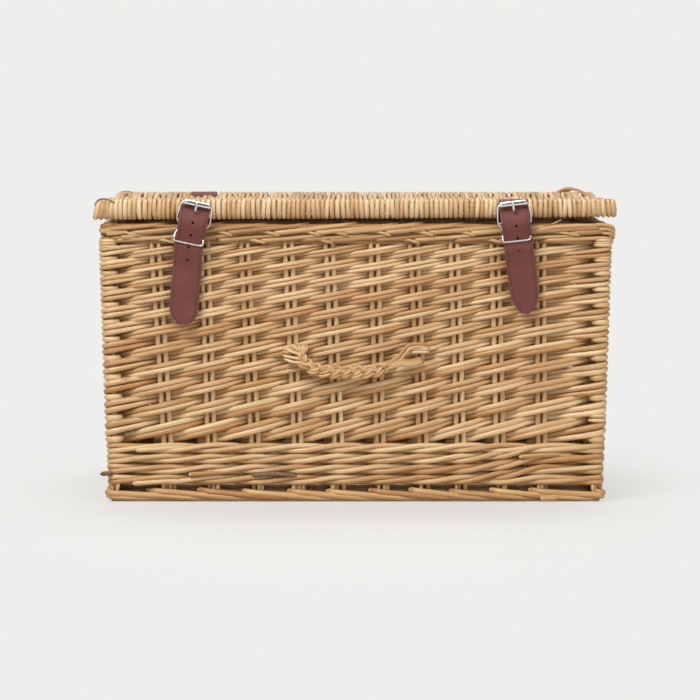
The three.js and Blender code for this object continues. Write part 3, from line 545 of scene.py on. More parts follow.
# stakes and corner posts
stakes = {
    "heights": (8.6, 40, 90, 140, 190, 232), "postHeights": (8.4, 80, 150, 228), "crook": 0.25,
    "feet": (1, 2, 2, 3), "footLow": (8.8, 12.0), "footAt": 14, "footTop": 20, "footRod": (1.5, 2.1),
}
stakeRods = []
for index, (wall, stake) in enumerate(columns):
    if stake < 0:
        path = [columnPlace(index, z)[0] + Vector((0, 0, z)) for z in stakes["postHeights"]]
        stakeRods.append(newRod(path, body["post"] - 0.1))
        continue
    for side in (-1, 1):
        controls = []
        for z in stakes["heights"]:
            base, normal = columnPlace(index, z)
            along = alongWall(normal)
            aside = body["rodOffset"] + dice.uniform(-stakes["crook"], stakes["crook"])
            spot = base + along * side * aside
            controls.append(spot + Vector((0, 0, z)))
        stakeRods.append(newRod(smoothPath(controls, 12), body["stake"] * dice.uniform(0.95, 1.05)))

# feet of the stakes and of the side rods pushed in beside them, in the gap under the wale
for index, (wall, stake) in enumerate(columns):
    for _ in range(dice.choice(stakes["feet"])):
        spot, normal = columnPlace(index, stakes["footAt"])
        normal = normal or (wallNormals[wall - 1] + wallNormals[wall]).normalized()
        along = alongWall(normal)
        spot = spot + along * dice.uniform(-7.5, 7.5) + normal * dice.uniform(2.2, 3.6)
        low = dice.uniform(*stakes["footLow"])
        ends = [spot + Vector((0, 0, low)), spot + Vector((0, 0, stakes["footTop"])) - normal * 2]
        stakeRods.append(newRod(ends, dice.uniform(*stakes["footRod"]), tone=(0.95, 0.3, 0.2), rounded=True))
rodPiece("stakes", stakeRods, "basket", stakeWillow,
         ["front_stakes", "right_stakes", "rear_stakes", "left_stakes",
          "front_left_post", "front_right_post", "rear_left_post", "rear_right_post"], detail=2)
print("stage: stakes")


# a point just inside the stakes, by count of columns
def insideOf(place, z):
    index = math.floor(place)
    near = columnPlace(index, z)[0].lerp(columnPlace(index + 1, z)[0], place - index)
    inwards = 2.6
    return Vector((near.x * (1 - inwards / body["halfSpan"]), near.y * (1 - inwards / body["halfDepth"]), z))


def insideRing(z, radius):
    return newRod([insideOf(k / 2, z) for k in range(len(columns) * 2)], radius, closed=True)


# wale: three rods at a time, each in front of two stake pairs and behind the next, for four rounds
wale = {"bottom": 15.0, "row": 9.3, "rows": 4, "rod": 2.5, "climb": 2.3, "start": 10, "rise": 1.6}


# the middle of the wale at a step; it climbs a row towards the end of each round
def waleHeight(step):
    turn, past = divmod(step - wale["start"], len(columns))
    rise = max(0.0, 1 - (len(columns) - past) / wale["rise"])
    if not 0 <= turn < wale["rows"] - 1:
        turn, rise = min(max(turn, 0), wale["rows"] - 1), 0.0
    return wale["bottom"] + wale["row"] * (turn + rise + 0.5)


def waleRods():
    rods = []
    for phase in range(3):
        here = wale["start"]
        while (here - phase) % 3 != 2:
            here -= 1
        end = wale["start"] + wale["rows"] * len(columns)
        while here < end:
            stop = min(here + 3 * dice.randint(4, 6), end + 2)
            stop -= (stop - phase - 2) % 3
            controls = []
            for step in range(here, stop + 1):
                state = (step - phase) % 3
                side = -1 if state == 2 else 1
                lift = (-wale["climb"], wale["climb"], 0.0)[state]
                z = waleHeight(step) + lift + dice.uniform(-0.25, 0.25)
                controls.extend(passing(step, z, side, wale["rod"], 0.3))
            if stop <= here:
                break
            girth = wale["rod"] * dice.uniform(0.97, 1.06)
            rods.append(newRod(smoothPath(controls, 7), girth, wale["rod"] * 0.94))
            here = stop
    return rods


# light ends of rods that were cut off where the next one was laid in, as (x, height)
waleEnds = ((-191.0, 46.0), (-196.2, 39.0), (-144.5, 24.6), (-194.0, 16.6), (145.6, 40.2))
waleEndRun = ((0, 0.8, 0), (8, 0.8, 0.5), (28, 3.4, 1.8), (44, 7, 2.2))  # along, inwards and up from there
waleBits = []
depth = body["halfDepth"] + 6.9
for x, z in waleEnds:
    ends = [(x + along, -depth + inwards, z + up) for along, inwards, up in waleEndRun]
    waleBits.append(newRod(smoothPath(ends, 3), 2.3, 1.8, rounded=True))
for level in range(wale["rows"]):  # rods laid in behind, which close the wall between the rounds
    waleBits.append(insideRing(wale["bottom"] + wale["row"] * level, 2.2))
rodPiece("wale_rods", waleRods() + waleBits, "basket", wallWillow, ["outer_wale", "inner_wale"])
barkLines = (  # a knob at the corner and a piece of rod with its bark on
    ((-222.6, -155.6, 24.8), (-220.0, -155.8, 25.2), (-215.0, -154.0, 25.0)),
    ((-95.0, -151.0, 21.6), (-84.0, -156.0, 24.2), (-70.0, -156.8, 25.0), (-58.0, -155.6, 23.8),
     (-49.0, -151.4, 21.6)),
)
barkAndShadeRods = [newRod(smoothPath(line, 2), 2.2, 2.0, rounded=True) for line in barkLines]
for z in (9.4, 13.4):  # rods that close the gap behind the stake feet, dark as painted shade
    barkAndShadeRods.append(insideRing(z, 2.4))
# the knob and the bark patch are real bark, the two rings behind the feet are painted shade
rodPiece("wale_bark_and_shade", barkAndShadeRods, "basket", twigAndShade)
print("stage: wale")

# foot border: each rod starts high at one stake and runs down to the ground under the next ones
foot = {
    "out": 6.9, "high": 9.7, "low": 2.85, "rod": 2.8, "run": 2.15, "start": 0.72, "startTuck": 4.0,
    "endTuck": 4.5, "innerRod": 2.35, "innerTip": 2.2, "ringRod": 2.4, "rings": ((-0.6, 2.5), (0.4, 5.6)),
    "paleEnd": ((163, -157.4, 3.4), (168, -156.4, 3.4), (177, -153.5, 3.4)),
}
cornerTurn = 0.17  # share of a column's space that the turn at a corner takes on each side


# a point on the rounded line that runs round the chest outside the stakes, by count of columns
def roundPoint(place, out, z):
    index = math.floor(place)
    share = place - index
    wall, stake = columns[index % len(columns)]
    nextStake = columns[(index + 1) % len(columns)][1]
    if stake < 0 and share < cornerTurn:
        return cornerPoint(wall, 0.5 + 0.5 * share / cornerTurn, out, z)
    if nextStake < 0 and share > 1 - cornerTurn:
        return cornerPoint((wall + 1) % 4, 0.5 * (share - 1 + cornerTurn) / cornerTurn, out, z)
    normal = wallNormals[wall]
    along = alongWall(normal)
    half, plane = wallSizes(wall)
    low, begin = (cornerTurn, -half) if stake < 0 else (0.0, columnPlace(index, z)[0].dot(along))
    high, end = (1 - cornerTurn, half) if nextStake < 0 else (1.0, columnPlace(index + 1, z)[0].dot(along))
    reach = begin + (end - begin) * (share - low) / (high - low)
    limit = half - max(0.0, -out)
    spot = normal * (plane + out) + along * min(max(reach, -limit), limit)
    return Vector((spot.x, spot.y, z))


# the same line's turn at a corner, by share of the turn
def cornerPoint(wall, share, out, z):
    normal, before = wallNormals[wall], wallNormals[wall - 1]
    half, plane = wallSizes(wall)
    angle = share * math.pi / 2
    way = before * math.cos(angle) + normal * math.sin(angle) if out > 0 else before + normal
    spot = normal * plane + before * half + way * out
    return Vector((spot.x, spot.y, z))


def footRods():
    rods = []
    total = len(columns)
    for start in range(total):
        begin = start + foot["start"] + dice.uniform(-0.05, 0.05)
        radius = foot["rod"] * dice.uniform(0.93, 1.03)
        lift = dice.uniform(-0.6, 0.6)
        controls = []
        for k in range(11):
            share = k / 10
            z = foot["low"] + (foot["high"] + lift - foot["low"]) * (1 - share ** 0.9)
            tucked = foot["endTuck"] * max(0.0, share - 0.8) / 0.2
            tucked += foot["startTuck"] * max(0.0, 0.1 - share) / 0.1
            out = foot["out"] - radius - 1.5 * share - tucked
            controls.append(roundPoint(begin + foot["run"] * share, out, z))
        rods.append(newRod(smoothPath(controls, 6), radius, radius * 0.96, rounded=True))
    for start in range(total):  # the same rods inside the stakes
        controls = []
        for k in range(9):
            share = k / 8
            controls.append(roundPoint(start + foot["run"] * share, -4.4 + 1.6 * share, 8.0 - 5.2 * share))
        rods.append(newRod(smoothPath(controls, 8), foot["innerRod"], foot["innerTip"]))
    for out, z in foot["rings"]:
        controls = [roundPoint(k / 2, out, z) for k in range(total * 2)]
        rods.append(newRod(controls, foot["ringRod"], closed=True))
    rods.append(newRod(smoothPath(foot["paleEnd"], 3), 2.3, tone=(0.9, 0.2, 0.2)))
    return rods


rodPiece("foot_rods", footRods(), "basket", footWillow, ["foot_border"])
print("stage: foot")

# top border, the stakes turned down along the rim
rim = {
    "out": 11.3, "upper": (236.6, 244.5), "lower": (230.0, 235.4), "upperRod": 2.35, "lowerRod": 1.95,
    "upperRun": 2.0, "lowerRun": 1.75, "startTuck": 3.5, "endTuck": 5.5, "ringRod": 2.25,
    "sag": 1.5,  # the upper rods hang lower towards the right of the front
    "tips": (0.6, 1.62, 2.63, 3.73, 4.71, 5.33, 6.33, 7.4, 8.42, 9.38, 10.45),
    "lowTips": (0.3, 1.35, 2.4, 3.4, 4.4, 5.0, 6.1, 7.05, 8.1, 9.1, 10.1),
}


def rimRod(start, run, heights, radius, inset):
    controls = []
    for k in range(13):
        share = k / 12
        z = heights[0] + (heights[1] - heights[0]) * share
        hidden = rim["endTuck"] * max(0.0, share - 0.84) / 0.16
        hidden += rim["startTuck"] * max(0.0, 0.1 - share) / 0.1
        out = rim["out"] - radius - inset - 1.6 * share - hidden
        controls.append(roundPoint(start + run * share, out, z))
    return newRod(smoothPath(controls, 7), radius, radius * 0.88)


def tipRod(spot, z, radius, drop):
    controls = [
        roundPoint(spot - 0.40, rim["out"] - 7.0, z + 2.4),
        roundPoint(spot - 0.18, rim["out"] - 3.6, z + 1.2),
        roundPoint(spot, rim["out"] - 1.9, z - drop * 0.3),
        roundPoint(spot + 0.08, rim["out"] - 1.5, z - drop),
    ]
    tone = (0.85, dice.random() * 0.5, dice.random() * 0.5)
    return newRod(smoothPath(controls, 3), radius, radius * 0.8, tone)


def borderRods():
    rods = []
    total = len(columns)
    for index in range(total):
        shown = index < len(rim["tips"])
        high = rim["tips"][index] if shown else index + dice.uniform(0.35, 0.7)
        low = rim["lowTips"][index] if shown else index + dice.uniform(0.2, 0.5)
        radius = rim["upperRod"] * dice.uniform(0.94, 1.06)
        sag = rim["sag"] if 6 < index < 13 else 0.0
        heights = (rim["upper"][0] + dice.uniform(-0.4, 0.4), rim["upper"][1] + dice.uniform(-0.4, 0.3) - sag)
        rods.append(rimRod(high - 0.1, rim["upperRun"], heights, radius, 0.0))
        radius = rim["lowerRod"] * dice.uniform(0.92, 1.08)
        heights = (rim["lower"][0] + dice.uniform(-0.4, 0.4), rim["lower"][1] + dice.uniform(-0.4, 0.4))
        rods.append(rimRod(low - 0.1, rim["lowerRun"], heights, radius, 1.0))
        rods.append(tipRod(high, 236.2, dice.uniform(1.5, 1.9), 1.6))
        if index % 2 == 1:
            rods.append(tipRod(low, 229.4, dice.uniform(1.4, 1.8), 1.3))
    return rods


def rimRings(places, tone):
    rings = []
    for out, z in places:
        controls = [roundPoint(k / 2, out, z + 0.4 * math.sin(k * 1.3)) for k in range(len(columns) * 2)]
        rings.append(newRod(controls, rim["ringRod"], tone=tone, closed=True))
    return rings


# loose ends that show at the two front corners, as lines of (x, y, z) with their thickness
looseEnds = (
    (((-222.5, -160.5, 238.6), (-217, -159.5, 238.4), (-206, -157, 239.4)), 2.3),
    (((-217.2, -161.6, 236.3), (-211, -160.4, 236.5), (-200, -157.5, 237.6)), 2.0),
    (((-204.1, -161.5, 233.3), (-198, -160.2, 233.7), (-187, -157.5, 235.0)), 1.9),
    (((154.3, -159.0, 236.9), (163, -160.0, 239.8), (172.6, -160.2, 242.0), (190, -160, 243.2),
      (214, -159, 243.4)), 1.9),
    (((171.2, -160.5, 244.6), (175.5, -161.0, 246.4), (179.8, -160.0, 248.4)), 0.55),
    (((210, -160.4, 244.2), (218, -160.2, 244.0), (224.4, -157.6, 242.2), (226.4, -153.4, 238.6)), 1.7),
    (((213, -160.8, 240.2), (220, -160.4, 240.2), (225.0, -157.0, 238.2), (226.4, -153.0, 234.6)), 1.6),
    (((216, -160.8, 236.4), (221.6, -160.0, 236.6), (225.2, -156.6, 235.2), (226.2, -152.8, 232.4)), 1.4),
    (((212, -159.4, 232.6), (219, -159.2, 232.4), (223.6, -156.4, 231.0), (225.0, -152.0, 229.0)), 1.6),
    (((220.0, -158.6, 238.0), (223.0, -156.4, 234.4), (223.2, -155.6, 228.6)), 1.9),
)
rimBits = [newRod(smoothPath(line, 2.5), girth, tone=(0.9, 0.3, 0.3)) for line, girth in looseEnds]
# the two top rings take the darkest tone, as painted shade in the gap under the lid
rimBits += rimRings(((3.0, 242.9), (6.4, 242.4)), (0.0, 0.3, 0.9))
rimBits += rimRings(((-4.4, 229.0), (1.6, 228.6), (3.2, 240.0), (3.2, 236.0), (3.2, 232.0)), (0.4, 0.3, 0.3))
rodPiece("rim_rods", borderRods() + rimBits, "basket", rimWillow)
# rods that close the rim inside, dark as painted shade under the lid
rimShadeRings = rimRings(((-1.3, 232.2), (-1.4, 236.6), (-1.3, 240.4), (-1.0, 242.8)), (0.0, 0.3, 0.9))
rodPiece("rim_shade_rods", rimShadeRings, "basket", twigAndShade)
print("stage: rim")

# lid: rods over and under the sticks, wound round the front and rear edge sticks
lid = {
    "halfWidth": 228.1, "roll": 156.19, "height": 258.1, "rollRadius": 8.4, "edgeStick": 4.4,
    "count": 106, "rod": 2.15, "lastRod": 2.8, "sticks": 5, "stick": 1.8, "wave": 3.85,
    "loops": (-145.1, 150.9),
    "slot": 12.9, "straps": (138.0,), "hinges": (-145.1,),  # here the leather lies over the rods
}


def stickPlace(i):
    return 2 * lid["roll"] * ((i + 1) / (lid["sticks"] + 1) - 0.5)


# a weaver's line round the front edge stick for end -1 and round the rear one for end 1
def edgeTurn(x, end, slant, radius):
    if any(abs(x - place) < lid["slot"] for place in lid["straps" if end < 0 else "hinges"]):
        return [Vector((x, end * (lid["roll"] - 9.6), lid["height"] + 0.8))]
    thick = lid["rollRadius"] + 0.35 - 0.6 * x / lid["halfWidth"]
    rolled = thick - radius
    line = []
    for k in range(10):
        angle = math.radians(-140 + 230 * k / 9)
        line.append(Vector((
            x + slant * math.sin(angle), end * (lid["roll"] + rolled * math.cos(angle)),
            lid["height"] + lid["rollRadius"] - thick + rolled * math.sin(angle),
        )))
    return line


def lidRods():
    widths = [dice.uniform(0.84, 1.16) for _ in range(lid["count"])]
    scale = 2 * lid["halfWidth"] / sum(widths)
    rods = []
    edge = -lid["halfWidth"]
    for j, width in enumerate(widths):
        x = edge + width * scale / 2
        edge += width * scale
        outermost = j < 5 or j > lid["count"] - 9
        radius = lid["rod"] * (0.45 + 0.55 * width) * (1.14 if outermost else 1.03)
        if j == lid["count"] - 1:
            radius = lid["lastRod"]
            x = lid["halfWidth"] - radius
        slant = dice.uniform(-0.5, 0.5) + (1.4 * (1 - j / 5) if j < 5 else 0.0)
        controls = edgeTurn(x, -1, slant, radius)
        for i in range(lid["sticks"]):
            side = 1 if (i + j // 2) % 2 == 0 else -1
            height = lid["height"] + side * lid["wave"]
            controls.append(Vector((x + dice.uniform(-0.3, 0.3), stickPlace(i), height)))
        controls.extend(reversed(edgeTurn(x, 1, slant, radius)))
        rods.append(newRod(smoothPath(controls, 6), radius, radius * dice.uniform(0.92, 1.0)))
    return rods


# twigs wound over the corners, two thin dark ones first, as lines of (x, y, z) with their thickness
twigLines = (
    (((-227.4, -163.2, 261.4), (-225.2, -160.8, 265.2), (-221, -160.2, 266.7), (-215, -162.2, 265.9),
      (-210, -164.0, 263.4)), 0.7),
    (((-227.6, 148, 261.0), (-226.8, 156, 265.2), (-222, 159, 266.3), (-215, 157, 265.6),
      (-210, 154, 263.4)), 0.7),
    (((190, 150, 262.5), (198, 155, 267.0), (206, 158, 269.4), (215, 158, 267.8), (226, 154, 262.5)), 2.0),
    (((194, 160, 263.0), (203, 157, 268.0), (211, 154.5, 268.4), (224, 150, 262.8)), 1.6),
    (((201, 163, 261.5), (206, 158.5, 267.6), (212, 154, 268.6), (219, 148, 262.4)), 1.8),
)
rodPiece("lid_weavers", lidRods(), "lid", lidWillow, ["lid_weave"])
twigs = [newRod(smoothPath(line, 2.5), girth, 0.6, (0.2, 0.2, 0.9)) for line, girth in twigLines]
rodPiece("lid_twigs", twigs[2:], "lid", footWillow)
rodPiece("lid_dark_twigs", twigs[:2], "lid", twigAndShade)
stickRods = []
for i in range(lid["sticks"]):
    path = []
    for x in (-227, -180, -90, 0, 90, 180, 227):
        path.append(Vector((x, stickPlace(i), lid["height"] + dice.uniform(-0.15, 0.15))))
    stickRods.append(newRod(path, lid["stick"], lid["stick"] * 0.9))
for y in (-lid["roll"], lid["roll"]):
    path = [Vector((x, y, lid["height"])) for x in (-227, -100, 0, 100, 227)]
    stickRods.append(newRod(path, lid["edgeStick"] - 0.1))
rodPiece("lid_sticks", stickRods, "lid", stakeWillow,
         ["lid_front_stick", "lid_rear_stick"] + [f"lid_stick_{i}" for i in range(1, 6)], detail=2)
print("stage: lid")

# base: rods from front to rear over and under its sticks
bottom = {
    "halfLength": 204.5, "halfDepth": 142, "height": 20.5, "wave": 1.9, "weavers": 90, "weaver": 2.1,
    "sticks": 9, "stick": 1.7, "stickRun": (-205.5, -70, 70, 205.5),
}
rows = []
for i in range(bottom["sticks"]):
    rows.append(-bottom["halfDepth"] + 2 * bottom["halfDepth"] * i / (bottom["sticks"] - 1))
baseRods = []
for j in range(bottom["weavers"]):
    x = -bottom["halfLength"] + 2 * bottom["halfLength"] * j / (bottom["weavers"] - 1)
    controls = []
    for i, y in enumerate(rows):
        side = 1 if (i + j) % 2 == 0 else -1
        controls.append(Vector((x, y, bottom["height"] + side * bottom["wave"])))
    baseRods.append(newRod(smoothPath(controls, 9), bottom["weaver"]))
for y in rows:
    baseRods.append(newRod([Vector((x, y, bottom["height"])) for x in bottom["stickRun"]], bottom["stick"]))
rodPiece("base_rods", baseRods, "basket", wallWillow,
         ["base_weave"] + [f"base_stick_{i}" for i in range(1, 6)])
print("stage: base")

# straps, in dictionaries by side: -1 is the left one and 1 the right one
strap = {
    "place": 138.0, "halfWidth": 12.7, "thick": 2.3, "wallGap": 7.29, "ends": {-1: 90.7, 1: 81.5},
    "tips": {-1: 14.5, 1: 19.0}, "tipCurves": {-1: 1.9, 1: 1.45},
    "loops": {-1: 5.4, 1: 7.25},  # on the left the lid's rods are wound over the leather
    "firstHole": 9.3, "holesFrom": {-1: -1.0, 1: -3.4}, "holeStep": 10.9, "holes": {-1: 4, 1: 3},
    "stitch": 2.7, "stitchStep": 4.1, "stitchInset": 2.4, "thread": 0.3,
    "sway": ((-91, 0.6), (-75, -0.6), (-61, -1.5), (-41, -2.0), (-30, -3.1), (-20.3, -3.1), (-8, -2.3),
             (10.7, -1.7), (14, -1.4)),  # how far the left strap hangs to the left, by height
}
tilt = math.radians(7.6)
buckle = {
    "bar": -165.993, "height": 246.7, "head": 16.0, "wire": 0.78, "headOut": 3.6, "keeperOut": 3.0,
    "barHalf": 13.9, "headHalf": 13.9, "headCorner": 3.8, "keeperHalf": 12.2, "keeperCorner": 2.2,
    "feet": {-1: 19.0, 1: 16.6},
    "waist": ((11.1, -0.8, -9), (11.4, -0.2, -4.1), (14.1, 0, -0.6), (14.2, -1.8, 7)),
    "leans": {-1: 12.0, 1: 6.2}, "shifts": {-1: -2.0, 1: -0.7},
    "bends": {-1: 1.7, 1: 0.0},  # the left frame is bent out below its bar
    "rollerHalf": 11.6, "roller": 2.4,
    "tongue": ((-1.2, 1.2), (0.3, 4.0), (0.3, 6.8), (-1.7, 8.4), (-4.8, 9.6), (-6.8, 11.6), (-7.3, 14.4),
               (-7.2, 17.8)),  # as (y, z) from the bar
    "pin": 1.1, "pinTip": 0.95, "eye": 2.0, "eyeWire": 0.62,
}


# the place and lean of a buckle's bar
def buckleMatrix(side, lean=tilt, aside=0.0):
    place = side * (strap["place"] + (lid["height"] - buckle["height"]) * math.tan(tilt)) + aside
    turn = Matrix.Rotation(-side * lean, 4, "Y")
    return Matrix.Translation((place, buckle["bar"], buckle["height"])) @ turn


# from a piece's drawing in millimetres to the chest in metres
def inChest(matrix):
    return Matrix.Scale(mm, 4) @ Matrix.Translation(shift) @ matrix


def bakeModifiers(thing):
    graph = bpy.context.evaluated_depsgraph_get()
    mesh = bpy.data.meshes.new_from_object(thing.evaluated_get(graph), depsgraph=graph)
    old = thing.data
    thing.modifiers.clear()
    thing.data = mesh
    bpy.data.meshes.remove(old)


# round holes through a band, each drawn out by its length
def punchHoles(thing, holes, matrix):
    cutter = bmesh.new()
    for place, length in holes:
        spot = bmesh.ops.create_cone(cutter, cap_ends=True, segments=20, radius1=1.2 * mm, radius2=1.2 * mm,
                                     depth=26 * mm)
        local = Matrix.Translation(place) @ Matrix.Rotation(math.pi / 2, 4, "X")
        whole = inChest(matrix) @ local @ Matrix.Scale(1 / mm, 4)
        stretch = Matrix.Diagonal((1, length, 1, 1))
        bmesh.ops.transform(cutter, matrix=whole @ stretch, verts=spot["verts"])
    tool = bpy.data.meshes.new(thing.name + "_punch")
    cutter.to_mesh(tool)
    cutter.free()
    punch = link(thing.name + "_punch", tool)
    cut = thing.modifiers.new("holes", "BOOLEAN")
    cut.operation = "DIFFERENCE"
    cut.solver = "EXACT"
    cut.object = punch
    bakeModifiers(thing)
    bpy.data.objects.remove(punch)


# a leather band along a line, shaped by its half width at each part of the length
def band(name, points, halfWidth, thickness, matrix, widthAt=None, holes=(), closed=False, bevel=0.45):
    runs = runLengths(points)
    made = bmesh.new()
    bmesh.ops.create_grid(made, x_segments=12, y_segments=len(points) - 1, size=0.5)
    made.loops.layers.uv.new("UVMap")
    for vert in made.verts:
        i = round((vert.co.y + 0.5) * (len(points) - 1))
        half = halfWidth * (widthAt(runs[i], runs[-1]) if widthAt else 1)
        vert.co = points[i] + Vector((vert.co.x * 2 * half, 0, 0))
    mesh = bpy.data.meshes.new(name)
    if closed:
        bmesh.ops.remove_doubles(made, verts=made.verts, dist=0.02)
    bmesh.ops.transform(made, matrix=inChest(matrix), verts=made.verts)
    bmesh.ops.recalc_face_normals(made, faces=made.faces)
    made.to_mesh(mesh)
    made.free()
    thing = link(name, mesh, leather)
    solid = thing.modifiers.new("thickness", "SOLIDIFY")
    solid.thickness = thickness * mm
    solid.offset = 0
    rounded = thing.modifiers.new("edges", "BEVEL")
    rounded.width = bevel * mm
    rounded.segments = 2
    rounded.limit_method = "ANGLE"
    rounded.angle_limit = math.radians(50)
    bakeModifiers(thing)
    if holes:
        punchHoles(thing, holes, matrix)
    for face in thing.data.polygons:
        face.use_smooth = True
    thing.data.set_sharp_from_angle(angle=math.radians(40))
    return thing


def swayAt(side, z):
    heights, sways = zip(*strap["sway"])
    return float(np.interp(z, heights, sways)) if side < 0 else 0.0


# the tail's way through the buckle and down the wall, as (y, z) from the buckle's bar
def tailLine(side):
    wall = -(buckle["bar"] + body["halfDepth"] + strap["wallGap"])
    places = (
        (3.2, 15.5), (0.0, 10.2), (-3.1, 5.0), (-5.4, 0.9), (-5.8, -2.6), (-3.8, -9), (-1.4, -15), (-0.5, -19),
        (-0.5, -24.5), (1.2, -31), (wall - 4.6, -40), (wall - 4.5, -55), (wall - 4.5, -70),
        (wall - 4.5, -strap["ends"][side]),
    )
    return smoothPath([Vector((swayAt(side, z), y, z)) for y, z in places], 1.6)


# the leather round the lid's front roll
def loopLine(side):
    reach = strap["loops"][side]
    roll = []
    for k in range(15):
        angle = math.radians(156 - (156 + 50) * k / 14)
        y = -lid["roll"] + reach * math.cos(angle)
        roll.append(Vector((0, y, lid["height"] + reach * math.sin(angle))))
    return smoothPath(roll, 2.0)


def stitchRods(line, matrix, widthAt):
    stitches = []
    runs = runLengths(line)
    for edge in (-1, 1):
        place = 4.0
        while place < runs[-1] - 3:
            ends = []
            for spot in (place, place + strap["stitch"] / 2, place + strap["stitch"]):
                i = max(k for k, run in enumerate(runs) if run <= spot)
                i = min(i, len(line) - 2)
                share = (spot - runs[i]) / (runs[i + 1] - runs[i])
                point = line[i].lerp(line[i + 1], share)
                way = (line[i + 1] - line[i]).normalized()
                out = Vector((0, way.z, -way.y))
                inset = strap["halfWidth"] * widthAt(spot, runs[-1]) - strap["stitchInset"]
                ends.append(matrix @ (point + Vector((edge * max(inset, 0.5), 0, 0)) + out * 1.28))
            stitches.append(newRod(ends, strap["thread"]))
            place += strap["stitchStep"]
    return stitches


def strapPiece(name, side):
    matrix = buckleMatrix(side)
    line = tailLine(side)

    def widthAt(run, length):
        left = length - run
        if left >= strap["tips"][side]:
            return 1.0
        share = 1 - left / strap["tips"][side]
        return max(0.06, math.sqrt(max(0.0, 1 - share ** strap["tipCurves"][side])))

    places = [strap["firstHole"]]
    for k in range(strap["holes"][side]):
        places.append(strap["holesFrom"][side] - strap["holeStep"] * k)
    holes = [((swayAt(side, z), 0, z), 1.3 if z > 0 else 1.0) for z in places]
    tail = band(name + "_tail", line, strap["halfWidth"], strap["thick"], matrix, widthAt, holes)
    lidPlace = Matrix.Translation((side * strap["place"], 0, 0))
    loop = band(name + "_loop", loopLine(side), strap["halfWidth"], strap["thick"], lidPlace)
    rodPiece(name + "_stitches", stitchRods(line, matrix, widthAt), name, thread)
    for piece in (tail, loop):
        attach(piece, name)
    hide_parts(name)


for name, side in (("left_strap", -1), ("right_strap", 1)):
    strapPiece(name, side)
print("stage: straps")


# the frame's wire from the keeper up to the head on the right, and back down on the left
def frameLine(side):
    right = []
    for x, z, out, turn, corner in (
            (buckle["keeperHalf"], -buckle["feet"][side], buckle["keeperOut"], -90, buckle["keeperCorner"]),
            (buckle["headHalf"], buckle["head"], buckle["headOut"], 0, buckle["headCorner"])):
        for k in range(6):
            angle = math.radians(turn + 90 * k / 5)
            rise = z - corner if turn == 0 else z + corner
            right.append(Vector((x - corner + corner * math.cos(angle), -out, rise + corner * math.sin(angle))))
        if turn == -90:
            right += [Vector(p) for p in buckle["waist"]]
    bend = buckle["bends"][side]
    left = [Vector((-p.x - bend * min(1.0, max(0.0, (-p.z - 4) / 7)), p.y, p.z)) for p in reversed(right)]
    return smoothPath(right + left, 2.5, closed=True)


def framePiece(name, side, matrix):
    ring = newRod([matrix @ p for p in frameLine(side)], buckle["wire"], closed=True)
    bar = [matrix @ Vector((x, 0, 0)) for x in (-buckle["barHalf"], 0, buckle["barHalf"])]
    rodPiece(name + "_frame_wire", [ring, newRod(bar, buckle["wire"] * 0.95)], name + "_buckle", bentWire,
             [name + "_buckle_frame"], detail=4)


# a tube whose two ends are turned in
def rollerPiece(name, matrix):
    length, girth = buckle["rollerHalf"], buckle["roller"]
    spots = [(-length, 1.7), (-length + 0.4, 2.25), (-length + 0.9, girth), (0, girth), (length - 0.9, girth),
             (length - 0.4, 2.25), (length, 1.7)]
    tube = newRod([matrix @ Vector((x, -buckle["headOut"], buckle["head"])) for x, _ in spots], girth)
    tube["radii"] = [closingGirth] + [r for _, r in spots] + [closingGirth]
    rodPiece(name + "_roller_tube", [tube], name + "_roller", chrome, [name + "_roller"],
             detail=6)


def tonguePiece(name, matrix):
    line = smoothPath([Vector((0, y, z)) for y, z in buckle["tongue"]], 1.2)
    pin = newRod([matrix @ p for p in line], buckle["pin"], buckle["pinTip"])
    turns = [a * math.pi / 6 for a in range(12)]
    ring = [matrix @ Vector((0, buckle["eye"] * math.cos(a), buckle["eye"] * math.sin(a))) for a in turns]
    eye = newRod(ring, buckle["eyeWire"], closed=True)
    rodPiece(name + "_tongue", [pin, eye], name + "_prong", bentWire, [name + "_prong"],
             detail=3)


for name, side in (("left", -1), ("right", 1)):
    matrix = buckleMatrix(side, math.radians(buckle["leans"][side]), buckle["shifts"][side])
    framePiece(name, side, matrix)
    rollerPiece(name, matrix)
    tonguePiece(name, matrix)
print("stage: buckles")

# hinge loops; only the right one lies under the lid's rods
hinge = {
    "halfWidth": 12.5, "thick": 2.2, "inner": 145.6, "outer": 163.6, "under": 228.2,
    "right_hinge_loop": (lid["loops"][1], 5.4), "left_hinge_loop": (lid["loops"][0], 7.1),
}


# over the lid's rear roll and down round the rim, as (y, z)
def hingeLine(reach):
    inner, outer, under = hinge["inner"], hinge["outer"], hinge["under"]
    ring = []
    for k in range(17):
        angle = math.radians(-5 + 190 * k / 16)
        ring.append((lid["roll"] + reach * math.cos(angle), lid["height"] + reach * math.sin(angle)))
    ring += [(inner + 0.8, 249), (inner, 243), (inner, 236), (inner + 0.4, under + 1.2), (inner + 1.6, under),
             (outer - 1.6, under), (outer - 0.4, under + 1.2), (outer, 238), (outer, 250)]
    line = smoothPath([Vector((0, y, z)) for y, z in ring], 2.0, closed=True)
    line.append(line[0])
    return line


for name in ("right_hinge_loop", "left_hinge_loop"):
    middle, reach = hinge[name]
    place = Matrix.Translation((middle, 0, 0))
    piece = band(name + "_leather", hingeLine(reach), hinge["halfWidth"], hinge["thick"], place, closed=True)
    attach(piece, "basket")
    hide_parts(name)
for name in ("left_chape", "right_chape"):
    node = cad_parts[name]
    node.data.materials.clear()
    node.data.materials.append(leather)

